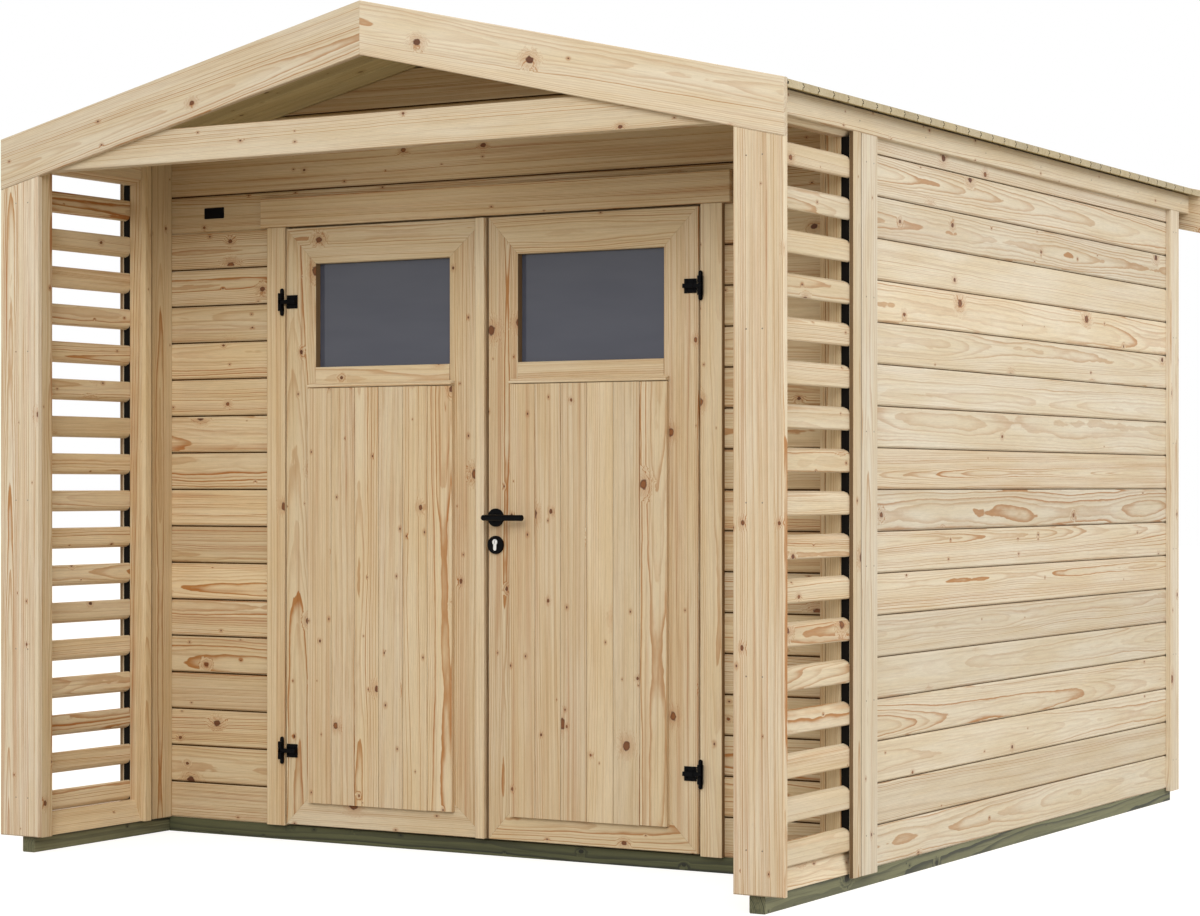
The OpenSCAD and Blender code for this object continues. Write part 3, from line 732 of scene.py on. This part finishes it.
def stud_frame(name, origin, along, out):
    """Sill, plate and even studs of one wall."""
    low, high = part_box(name + "_wall_frame")
    start, end, foot, plate = low.dot(along), high.dot(along), SILL_Z + STUD, high.z - STUD
    p = Piece(name + "_wall_studs")
    for z in (SILL_Z, plate):
        p.timber((origin, along, Z, out), rounded(z, z + STUD, 0, STUD), start, end)
    for i in range(WALL_BAYS + 1):
        at = start + (end - start - STUD) / WALL_BAYS * i
        p.timber((origin, Z, along, out), rounded(at, at + STUD, 0, STUD), foot + JOINT, plate - JOINT)
    p.build([name + "_wall_frame"])


def wall_frames():
    for name, side in SIDES:
        stud_frame(name, X * side * ROOM_X, Y, X * side)
    stud_frame("rear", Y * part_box("rear_wall_frame")[0].y, X, Y)

    low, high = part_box("front_wall_frame")
    p = Piece("front_wall_studs")
    plate, axes = high.z - STUD, rear_axes(low.y)
    p.timber(axes, rounded(plate, high.z, 0, STUD), low.x, high.x)
    stop_x, stop_z, deep = OPENING_X - STOP_SIDE, OPENING_Z - STOP_HEAD, 0.095
    p.timber(axes, rounded(stop_z, stop_z + deep, 0, STUD), -stop_x + JOINT, stop_x - JOINT)
    for side in (-1, 1):
        section = rounded(*sorted((side * stop_x, side * (stop_x + STUD))), 0, STUD)
        p.timber((Y * low.y, Z, X, Y), section, SILL_Z, plate - JOINT)
    p.build(["front_wall_frame"])


def corners():
    side_board, rear_board = 0.078, 0.095
    for name, side in SIDES:
        low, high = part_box(name + "_front_corner")
        p = Piece(name + "_front_corner_boards")
        axes = upright_axes(side, ROOM_X)
        w0, w1 = FACE_X - ROOM_X, CORNER_X - ROOM_X
        eaves = EAVES_Z - JOINT
        # Painted shade and light: the post in the porch is warmer and darker, the outer board cooler
        p.timber(axes, rounded(low.y, high.y, 0, STUD, 0.003), SILL_Z, lambda v, w: under(ROOM_X + w),
                 warm=1.0, tint=-0.9)
        p.timber(axes, rounded(low.y, high.y, w0, w1, EASED, 3), low.z, eaves,
                 warm=-0.7, tint=-0.2, streak=0.05, knots=0.2)
        p.build([name + "_front_corner"])

        low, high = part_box(name + "_rear_corner")
        p = Piece(name + "_rear_corner_boards")
        # Cooler: painted light on the outer wall
        p.timber(axes, rounded(high.y - side_board, high.y, w0, w1, EASED, 3), low.z, eaves,
                 warm=-0.6, streak=0.2)
        lap = (Y * REAR_Y, Z, X * side, Y)
        section = rounded(FACE_X - rear_board, FACE_X - JOINT, 0, BOARD, (0.001, 0.001, 0.001, 0.003), 3)
        p.timber(lap, section, low.z, lambda v, w: under(v))
        p.build([name + "_rear_corner"])


def soften(points, radius):
    """An outline with each corner cut by a short bevel."""
    out = []
    for i, corner in enumerate(points):
        p, a, b = Vector(corner), Vector(points[i - 1]), Vector(points[(i + 1) % len(points)])
        out.append(tuple(p + (a - p).normalized() * radius))
        out.append(tuple(p + (b - p).normalized() * radius))
    return out


def screens():
    slat_face, slat_fall, slat_z, pitch, tenon = 0.057, 0.011, 0.103, 0.11, 0.0025
    cover_t, strip_t, strip_w, lining_t = 0.013, 0.016, 0.03, 0.017
    foot, head, splay, chamfer = SILL_Z + 0.053, EAVES_Z - 0.014, 0.011, 0.026
    back_inset, face_inset = 0.012, 0.004
    y0, y1 = SCREEN_Y0, SCREEN_Y1
    post_y = y1 - STUD
    count = int((head - slat_z - slat_face - slat_fall) / pitch) + 1
    for name, side in SIDES:
        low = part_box(name + "_screen")[0]
        # Painted light and shade: the left screen, seen from the porch, is tinted lighter and the right one
        # darker, and the posts, strip and lining are warmer and darker in the porch's shade
        p = Piece(name + "_screen_timbers", 0.45 if side < 0 else 0.1, 0.7 if side < 0 else -0.7)
        up, along = upright_axes(side, FRAME_X), side_axes(side, FRAME_X)
        top = lambda v, w: under(FRAME_X + w)
        for y in (y0, post_y):
            p.timber(up, rounded(y, y + STUD, -STUD, 0, 0.003), SILL_Z, top, warm=1.0, tint=-0.4)
        # The cover strip's front edge is seam brown: painted shade
        section = rounded(post_y, y1, SLAT_T, SLAT_T + cover_t, (0.001, 0.001, 0.002, 0.002))
        p.timber(up, section, low.z, EAVES_Z - JOINT, warm=0.0, joints=(11,))
        section = rounded(post_y, post_y + strip_w, -STUD - strip_t, -STUD - JOINT,
                          (0.003, 0.003, 0.001, 0.001))
        p.timber(up, section, SILL_Z, top, warm=1.0, tint=-0.4)
        for i in range(count):
            z = slat_z + pitch * i
            slat = [(z + slat_fall, 0), (z, SLAT_T), (z + slat_face, SLAT_T),
                    (z + slat_face + slat_fall, 0)]
            p.timber(along, soften(soften(slat, 0.006), 0.0018), y0, post_y + tenon, ease=0.0)
        # The ends of the rails and the plate lie a little inside the posts, each in a plane of its own
        for wide, outer, inner in ((SILL_Z, foot, foot + slat_fall), (EAVES_Z, head, head)):
            rail = [(wide, -STUD), (wide, BOARD), (outer, BOARD - splay), (inner, 0),
                    (inner, -STUD + chamfer)]
            p.timber(along, soften(rail, 0.0015), y0 + 0.0002, y1 - 0.0004, ease=0.0, tint=-0.2)
        plate = [(EAVES_Z, -STUD), (EAVES_Z, BOARD), (under(FACE_X), BOARD), (under(ROOM_X), -STUD)]
        p.timber(along, plate, y0 + 0.0003, y1 - 0.0005, ease=0.0)
        section = rounded(y0 + JOINT, y0 + STUD + 0.001, -STUD - lining_t, -STUD - JOINT, 0.002)
        p.timber(up, section, SILL_Z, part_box("tie_beam")[0].z - JOINT, warm=1.0, tint=-1.0, streak=0.9)
        p.build([name + "_screen"], WALL_FACES)

        # Near-black blocks between the slat ends, and in the gap beside the corner post: painted shade in the
        # slots, which lie in deep shade
        p = Piece(name + "_screen_spacers")
        section = rounded(post_y + 0.003, y1 - JOINT, JOINT, SLAT_T - JOINT, 0.0008)
        p.timber(up, section, foot + slat_fall + JOINT, head - JOINT)
        section = rounded(y1 + JOINT, POST_Y - JOINT, -STUD + back_inset, BOARD - face_inset, 0.0005)
        p.timber(up, section, SILL_Z, head - JOINT)
        p.build([], PAINTED_SHADE_FACES)


def porch_front():
    low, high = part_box("front_bargeboards")
    thick, plumb = high.y - low.y, 0.146
    foot = low.z + plumb
    top = lambda x: foot + RISE * (HALF_ROOF - abs(x))
    for end, y, out in (("front", high.y, -Y), ("rear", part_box("rear_bargeboards")[0].y, Y)):
        p = Piece(end + "_bargeboard_pair", -0.3)
        for side in (-1, 1):
            down, outward = slope_axes(side)
            a, b = side * JOINT / 2, side * HALF_ROOF
            ends = [Vector((x, 0, top(x) - drop)) for x, drop in ((a, plumb), (b, plumb), (b, 0), (a, 0))]
            outline = [(point.dot(down), point.dot(outward)) for point in ends]
            axes = (Y * y, down, outward, out)
            p.plank(axes, outline, 0, thick, bevels=[0.002, 0.002, 0.002, 0.0])
        p.build([end + "_bargeboards"])
    for name, side in SIDES:
        low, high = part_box(name + "_front_board")
        p = Piece(name + "_front_board_face", -0.1 if side > 0 else -0.7, 0.0 if side > 0 else 0.45)
        x0, x1 = HALF_ROOF - (high.x - low.x), HALF_ROOF
        lift = plumb + JOINT
        outline = [(low.z, x0), (low.z, x1), (top(x1) - lift, x1), (top(x0) - lift, x0)]
        p.plank(stile_axes(high.y, side), outline, 0, high.y - low.y, 0.0025, streak=0.7, knots=0.3)
        p.build([name + "_front_board"])


def beams():
    low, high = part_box("tie_beam")
    p = Piece("tie_beam_timber", -0.3, -0.5)
    p.timber(front_axes(high.y), rounded(low.z, high.z, 0, high.y - low.y, 0.003, 3), low.x, high.x,
             streak=0.3, knots=0.35, flat=False)
    p.build(["tie_beam"])
    low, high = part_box("ridge_beam")
    p = Piece("ridge_beam_timber", 0.4)
    section = [(low.x, low.z), (high.x, low.z), (high.x, under(high.x)), (0, under(0)),
               (low.x, under(low.x))]
    p.timber((Vector(), Y, X, Z), section, low.y, high.y, ease=0.0)
    p.build(["ridge_beam"])
    nib, play = 0.002, 0.005
    for name, side in SIDES:
        low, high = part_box(name + "_eaves_board")
        p = Piece(name + "_eaves_board_face", -0.5)
        section = [(low.z, 0), (low.z, BOARD - nib), (low.z + nib, BOARD),
                   (under(CORNER_X) - play, BOARD), (under(FACE_X) - play, 0)]
        p.timber(side_axes(side, FACE_X), section, low.y, high.y, ease=0.0)
        p.build([name + "_eaves_board"])


def hooked(v0, v1, thick, last, gap=0.0028, bevel=0.004):
    """Section of a roof board with a blunt tongue in a loose groove, bevelled side at w = thick."""
    end = v1 if last else v1 - gap
    mid, play, nib = thick * 0.46, 0.0012, 0.0006
    tongue = ((0.0, 0.0032), (0.0042, 0.0026), (0.0066, 0.0009))
    points = [(v0 + nib, 0), (end - nib, 0), (end, nib)]
    if not last:
        points += [(end + a, mid - h) for a, h in tongue]
        points += [(end + a, mid + h) for a, h in reversed(tongue)]
    points += [(end, thick - bevel), (end - bevel, thick), (v0 + bevel, thick), (v0, thick - bevel)]
    points += [(v0 + a, mid + h + play) for a, h in tongue]
    points += [(v0 + a, mid - h - play) for a, h in reversed(tongue)]
    return points + [(v0, nib)]


# Edges of a hooked section inside the joint
HOOKED_JOINT = (*range(2, 9), *range(12, 19))


def roof():
    """Tongue-and-groove boards from ridge to eave, bevelled side down."""
    start = lambda v, w: w * tan(ROOF_PITCH)
    eave = lambda v, w: ((HALF_ROOF - JOINT / 2) + w * sin(ROOF_PITCH)) / cos(ROOF_PITCH)
    for name, side in SIDES:
        low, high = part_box(name + "_roof_deck")
        p = Piece(name + "_roof_boards", 0.4)
        down, outward = slope_axes(side)
        axes = (Vector((side * JOINT / 2, 0, deck_high.z)), down, Y, -outward)
        cover = (high.y - low.y) / ROOF_BOARDS
        for i in range(ROOF_BOARDS):
            v0, last = low.y + i * cover, i == ROOF_BOARDS - 1
            section = hooked(v0, v0 + cover, ROOF_T, last)
            p.timber(axes, section, start, eave, ease=0.0, joints=() if last else HOOKED_JOINT)
        p.build([name + "_roof_deck"], ROOF_FACES)


def doorway():
    low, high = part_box("door_trim")
    p = Piece("door_trim_boards", 0.7, 0.0)
    thick, width = high.y - low.y, 0.067
    p.timber(front_axes(high.y), rounded(OPENING_Z + JOINT, high.z, 0, thick, EASED, 3), low.x, high.x,
             ease=0.002, streak=0.9, warm=1.0, tint=0.0)
    for side in (-1, 1):
        # The outer flank of each side board is seam brown: painted shade
        section = rounded(OPENING_X, OPENING_X + width, 0, thick, EASED, 3)
        p.timber(stile_axes(high.y, side), section, low.z, OPENING_Z - 0.0002, joints=(7,))
    p.build(["door_trim"], WALL_FACES)

    # Sill board between the studs, from the front bearer to the floor
    floor_low, floor_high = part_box("floor_boards")
    p = Piece("door_sill", 0.2)
    half = OPENING_X - STOP_SIDE - JOINT
    section = rounded(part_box("front_wall_frame")[0].y, floor_low.y - JOINT, SILL_Z + JOINT, floor_high.z,
                      (0.001, 0.001, 0.001, 0.003))
    p.timber((Vector(), X, Y, Z), section, -half, half, streak=0.3, knots=0.2)
    p.build([])


def leaf(name, body):
    left = name == "left"
    low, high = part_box(name + "_leaf_frame")
    glass_low, glass_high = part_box(name + "_glass")
    a, b = glass_low.x - JOINT, glass_high.x + JOINT
    z0, z1 = glass_low.z - JOINT, glass_high.z + JOINT
    thick, ease, rail = high.y - low.y, 0.002, 0.104
    foot = low.z + (high.z - z1)
    mitred, squared = [0.0, ease, 0.0, ease], [ease, 0.0, ease, 0.0]
    p = Piece(name + "_leaf_timbers", 0.5, 0.0 if left else -0.4, 0.2)
    # The left stile's edge beside the pane is seam brown: painted shade in the reveal
    for outline, joint in (([(low.z, low.x), (foot, a), (z1, a), (high.z, low.x)], 1),
                           ([(foot, b), (low.z, high.x), (high.z, high.x), (z1, b)], None)):
        p.plank(stile_axes(high.y), outline, 0, thick, bevels=mitred, joint=joint, streak=0.75, knots=0.6)
    a, b, x0, x1 = a + JOINT, b - JOINT, low.x + 2 * JOINT, high.x - 2 * JOINT
    for outline in ([(a, z1 + JOINT), (b, z1 + JOINT), (x1, high.z), (x0, high.z)],
                    [(x0, low.z), (x1, low.z), (b, foot - JOINT), (a, foot - JOINT)],
                    oblong(a, b, z0 - rail, z0)):
        p.plank(front_axes(high.y), outline, 0, thick, bevels=squared)
    p.build([name + "_leaf_frame"], WALL_FACES, body=body)

    low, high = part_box(name + "_leaf_panel")
    p = Piece(name + "_leaf_boards", 0.35, 0.2 if left else 0.0, 0.16)
    thick, drip, boards = 0.016, 0.013, 6
    top, out = high.z - drip, high.y - low.y
    cover = (high.x - low.x) / boards
    for i in range(boards):
        v0, last = low.x + i * cover, i == boards - 1
        section = rounded(v0, high.x, 0, thick, (0.0005, 0.0005, 0.002, 0.0016), 1) if last \
            else tongued(v0, cover, thick, 0.0016, 0.0005, 0.0009)
        p.timber(stile_axes(high.y), section, low.z, top - 0.002, ease=0.0015 if last else 0.0,
                 joints=() if last else TONGUED_JOINT, flat=p.rng.random() < 0.3,
                 knots=p.rng.uniform(0.4, 0.85))
    r = 0.004
    turns = [radians(-90 + 45 * k) for k in range(5)]
    nose = [(top, 0)] + [(top + r + r * sin(t), out - r + r * cos(t)) for t in turns]
    nose += [(top + 2 * r, out - 2 * r), (high.z, out - 0.014), (high.z, 0)]
    # The drip is tinted lighter: painted light on its nose
    p.timber(front_axes(high.y), nose, low.x, high.x, tint=0.7, streak=0.1, knots=0.0, flat=False)
    p.build([name + "_leaf_panel"], WALL_FACES, body=body)
    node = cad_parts[name + "_glass"]
    node.data.materials.clear()
    node.data.materials.append(glass)


def meeting_strip():
    low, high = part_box("meeting_strip")
    p = Piece("meeting_strip_batten", 0.5)
    # The arc and flank on its left are seam brown: painted shadow beside the strip
    section = rounded(low.x, high.x, 0, high.y - low.y, (0.0008, 0.0008, 0.003, 0.003), 3)
    p.timber(stile_axes(high.y), section, low.z, high.z, tint=0.5, warm=0.2, streak=0.15, knots=0.1,
             joints=(13, 14, 15))
    p.build(["meeting_strip"], WALL_FACES, body="left_door")

    # Brown lip in the gap between the leaves, painted shade that darkens the gap
    leaf_low, leaf_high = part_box("left_leaf_frame")
    wide, front, back, end = 0.0048, 0.0012, 0.006, 0.001
    p = Piece("meeting_lip")
    section = rounded(high.x + JOINT, high.x + wide, back, leaf_high.y - leaf_low.y - front, 0.0006)
    p.timber(stile_axes(leaf_high.y), section, leaf_low.z + end, leaf_high.z - end)
    p.build([], (seam_face, seam_face), body="left_door")


# Ironmongery

IRON, STEEL, ZINC = ("black_iron", black), ("steel", nickel), ("steel", dull)


class Metal:
    """Plain solids gathered into one mesh."""

    def __init__(self, name):
        self.name, self.points, self.faces = name, [], []

    def lathe(self, centre, axis, profile, steps):
        """A profile of radius and height turned round an axis through centre."""
        axis = Vector(axis).normalized()
        side = axis.orthogonal().normalized()
        other = axis.cross(side)
        self.faces += loft(len(self.points), len(profile), steps)
        for radius, height in profile:
            for k in range(steps):
                t = 2 * pi * k / steps
                self.points.append(Vector(centre) + axis * height
                                   + (side * cos(t) + other * sin(t)) * radius)

    def plate(self, axes, outline, w0, w1, bevel):
        """A flat plate with a bevelled face."""
        origin, u_axis, v_axis, w_axis = axes
        self.faces += loft(len(self.points), 3, len(outline))
        for ring, w in ((outline, w0), (outline, w1 - bevel), (inset(outline, bevel), w1)):
            self.points += [origin + u_axis * u + v_axis * v + w_axis * w for u, v in ring]

    def build(self, body, slot, material, nodes=()):
        mesh = bpy.data.meshes.new(self.name)
        mesh.from_pydata(self.points, [], self.faces)
        finish_metal(self.name, mesh, body, slot, material, nodes)


def finish_metal(name, mesh, body, slot, material, nodes):
    """Add a smooth piece with crisp edges."""
    face_out(mesh)
    mesh.materials.clear()
    mesh.materials.append(material)
    mesh.shade_smooth()
    mesh.set_sharp_from_angle(angle=radians(32))
    show(name, mesh, body, slot, nodes)


def softened(node, body, slot, material, width=0.0007):
    """A copy of a node with its sharp edges rounded."""
    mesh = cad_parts[node].data.copy()
    bm = bmesh.new()
    bm.from_mesh(mesh)
    bmesh.ops.remove_doubles(bm, verts=bm.verts, dist=1e-5)
    bmesh.ops.dissolve_limit(bm, angle_limit=radians(1), verts=bm.verts, edges=bm.edges)
    sharp = [e for e in bm.edges if len(e.link_faces) == 2 and e.calc_face_angle() > radians(40)]
    bmesh.ops.bevel(bm, geom=sharp, offset=width, segments=2, affect="EDGES", profile=0.5,
                    clamp_overlap=True)
    bm.to_mesh(mesh)
    bm.free()
    finish_metal(node + "_soft", mesh, body, slot, material, [node])


# Hinges: heights of the pins, barrel radius, pin's distance from the trim, half heights of the slot, the
# blocks and the arms, and how far a block stands in front of its pin
HINGE_Z = (0.271, 1.611)
HINGE_R, HINGE_SET = 0.006, 0.0065
HINGE_SLOT, HINGE_BLOCK, HINGE_ARM = 0.0065, 0.0265, 0.035
HINGE_DEEP = 0.0115

# Strap pads: half height, reach from the middle of the shed, thickness, and places of the screws
PAD_HALF, PAD_X0, PAD_X1, PAD_T = 0.0199, 0.6578, 0.6962, 0.003
PAD_SCREWS = [(x, dz) for x in (0.6875, 0.6665) for dz in (-0.0125, 0.0125)]

SCREW = ((0.0035, 0.0), (0.0035, 0.0006), (0.0029, 0.0014), (0.0017, 0.0019), (0.0013, 0.0019),
         (0.0011, 0.0011))
NAIL = ((0.0021, 0.0), (0.0021, 0.0002), (0.0016, 0.0005), (0.0006, 0.0006))
PLUG = ((0.0066, -0.0004), (0.0066, 0.0003), (0.0062, 0.0006))


def hinge_barrels(name, side):
    """Hinge half on the trim: barrel arms with ball ends, a block in front of each, a flange past both."""
    low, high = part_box(name + "_hinge_plates")
    barrel = Metal(name + "_hinge_barrels")
    turns = [radians(17 * k) for k in range(6)]
    arm = [(HINGE_R - 0.0006, HINGE_SLOT), (HINGE_R, HINGE_SLOT + 0.0006)]
    arm += [(HINGE_R * cos(a), HINGE_ARM + HINGE_R * sin(a)) for a in turns]
    flange = [(0.0063, -0.0015), (0.0082, -0.0015), (0.0102, 0.007), (0.009, 0.007), (0.0063, -0.0005)]
    for z in HINGE_Z:
        pin = Vector(((low.x + high.x) / 2, high.y - HINGE_SET, z))
        axes = (pin, Z, X * side, -Y)
        for up in (1, -1):
            barrel.lathe(pin, Z * up, arm, 24)
            u0, u1 = sorted((up * HINGE_SLOT, up * HINGE_BLOCK))
            barrel.plate(axes, oblong(u0, u1, -0.005, 0.0068), 0, HINGE_DEEP, 0.0008)
            barrel.plate(axes, oblong(u0, u1, -0.003, 0.003), -HINGE_SET, 0, 0.0003)
        barrel.plate((pin - Z * HINGE_BLOCK, X * side, -Y, Z), flange, 0, 2 * HINGE_BLOCK, 0.0004)
    barrel.build("shed", *IRON, [name + "_hinge_plates"])


def ironmongery():
    for name, side in SIDES:
        body = name + "_door"
        hinge_barrels(name, side)
        softened(name + "_hinge_straps", body, *IRON)
        screws = Metal(name + "_strap_screws")
        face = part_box(name + "_hinge_straps")[1].y - PAD_T
        for z in HINGE_Z:
            axes = (Vector((0, face, z)), Z, X * side, -Y)
            screws.plate(axes, oblong(-PAD_HALF, PAD_HALF, PAD_X0, PAD_X1), -PAD_T, 0.0002, 0.0005)
            for x, dz in PAD_SCREWS:
                screws.lathe((side * x, face, z + dz), -Y, SCREW, 14)
        screws.build(body, *IRON)
    softened("lock_plates", "right_door", *IRON, 0.0012)
    softened("lever_handle", "lever", *IRON, 0.0008)
    softened("lock_cylinder", "right_door", *STEEL, 0.0004)

    # Plug and key slot at each end of the key cylinder
    low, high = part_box("lock_cylinder")
    x, z = (low.x + high.x) / 2, high.z - 0.0085
    plugs, slots = Metal("key_plugs"), Metal("key_slots")
    for y, out in ((low.y, -Y), (high.y, Y)):
        plugs.lathe((x, y, z), out, PLUG, 28)
        slots.plate((Vector((x, y, z)), Z, X, out), oblong(-0.0042, 0.0042, -0.0006, 0.0006),
                    0.0004, 0.0008, 0.0001)
    plugs.build("right_door", *STEEL)
    slots.build("right_door", *IRON)

    # Blank plate on the front wall
    plate = Metal("blank_plate")
    middle, level, half_long, half_high = -0.9855, 1.892, 0.037, 0.0165
    outline = rounded(middle - half_long, middle + half_long, level - half_high, level + half_high, 0.003, 4)
    plate.plate(front_axes(WALL_Y), outline, -0.0005, 0.003, 0.0008)
    plate.build("shed", *IRON)


def nails():
    heads = Metal("nail_heads")
    corner_z = [0.14 + k * 0.355 for k in range(6)]
    board_z = [0.16 + k * 0.43 for k in range(5)]
    front_inset, side_insets, lap_insets, board_insets = 0.024, (0.058, 0.03), (0.075, 0.025), (0.105, 0.06)
    eaves_end, eaves_rise, eaves_gaps = 0.08, 0.03, 7
    for name, side in SIDES:
        face, out = side * CORNER_X, X * side
        low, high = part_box(name + "_front_corner")
        nailed = [(face, y, z, out) for z in corner_z for y in (low.y + front_inset, high.y - front_inset)]
        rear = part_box(name + "_rear_corner")[1].y
        for z in corner_z:
            nailed += [(face, rear - back, z, out) for back in side_insets]
            nailed += [(side * (FACE_X - back), rear, z, Y) for back in lap_insets]
        low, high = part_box(name + "_eaves_board")
        gap = (high.y - low.y - 2 * eaves_end) / eaves_gaps
        level = low.z + eaves_rise
        nailed += [(face, low.y + eaves_end + k * gap, level, out) for k in range(eaves_gaps + 1)]
        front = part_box(name + "_front_board")[0].y
        nailed += [(side * (HALF_ROOF - back), front, z, -Y) for z in board_z for back in board_insets]
        for *place, axis in nailed:
            heads.lathe(place, axis, NAIL, 10)
    heads.build("shed", *ZINC)


# Floor, light and camera


def white_rays(g):
    """1 for the rays that should meet a white background."""
    rays = g.add("ShaderNodeLightPath").outputs
    seen = g.math("ADD", rays["Is Camera Ray"], rays["Is Glossy Ray"], True)
    return g.math("ADD", seen, rays["Is Transmission Ray"], True)


def stage():
    """A floor that takes soft shadows, and a white background with a warm fill light."""
    g = Graph(bpy.data.materials.new("studio_floor"))
    mottle = g.noise(g.local(), (0.6, 0.6, 0.6), 2.0)
    colour = g.mix(mottle, linear(174, 168, 158), linear(178, 173, 164))
    lit = g.add("ShaderNodeBsdfDiffuse", {"Color": colour})
    glow = g.add("ShaderNodeEmission", {"Color": (1, 1, 1, 1), "Strength": g.times(white_rays(g), 0.82)})
    both = g.add("ShaderNodeAddShader", {0: lit.outputs[0], 1: glow.outputs[0]})
    g.add("ShaderNodeOutputMaterial", {0: both.outputs[0]})
    mesh = bpy.data.meshes.new("studio_floor")
    half = 40.0
    mesh.from_pydata([(u, v, 0) for u, v in oblong(-half, half, -half, half)], [], [(0, 1, 2, 3)])
    mesh.materials.append(g.owner)
    ground = add_object("studio_floor", mesh)
    ground.location.z = -0.0005

    world = bpy.data.worlds.new("studio")
    bpy.context.scene.world = world
    g = Graph(world)
    fill = g.add("ShaderNodeBackground", {0: (1.0, 0.96, 0.9, 1), 1: 0.78})
    white = g.add("ShaderNodeBackground", {0: (1, 1, 1, 1), 1: 1.0})
    choose = g.add("ShaderNodeMixShader", {0: white_rays(g), 1: fill.outputs[0], 2: white.outputs[0]})
    g.add("ShaderNodeOutputWorld", {0: choose.outputs[0]})


def lamp(name, place, target, size, watts, colour):
    """A round area lamp that faces a target."""
    light = bpy.data.lights.new(name, "AREA")
    light.shape, light.size, light.energy, light.color = "DISK", size, watts, colour
    stand = add_object(name, light)
    stand.location = place
    stand.rotation_euler = (Vector(target) - Vector(place)).to_track_quat("-Z", "Y").to_euler()


def camera():
    """The photograph's camera: level, with its frame shifted up."""
    data = bpy.data.cameras.new("camera")
    data.sensor_width, data.lens = 36.0, 85.86
    data.shift_y = 0.0232
    data.clip_end = 200
    view = add_object("camera", data)
    view.location = (4.443, -7.8725, 1.0617)
    view.rotation_euler = (radians(90), 0, radians(30.42))
    bpy.context.scene.camera = view


bearers()
floor()
side_walls()
end_walls()
wall_frames()
corners()
screens()
porch_front()
beams()
roof()
doorway()
leaf("left", "left_door")
leaf("right", "right_door")
meeting_strip()
ironmongery()
nails()

stage()
lamp("key", (5.5, -14.2, 7.0), (0, -0.5, 1.2), 9.0, 1050, (0.97, 0.985, 1.0))
lamp("side", (14.4, 0.9, 6.4), (0, 0, 1.0), 8.0, 830, (0.92, 0.96, 1.0))
camera()
bpy.context.scene.view_settings.view_transform = "Standard"
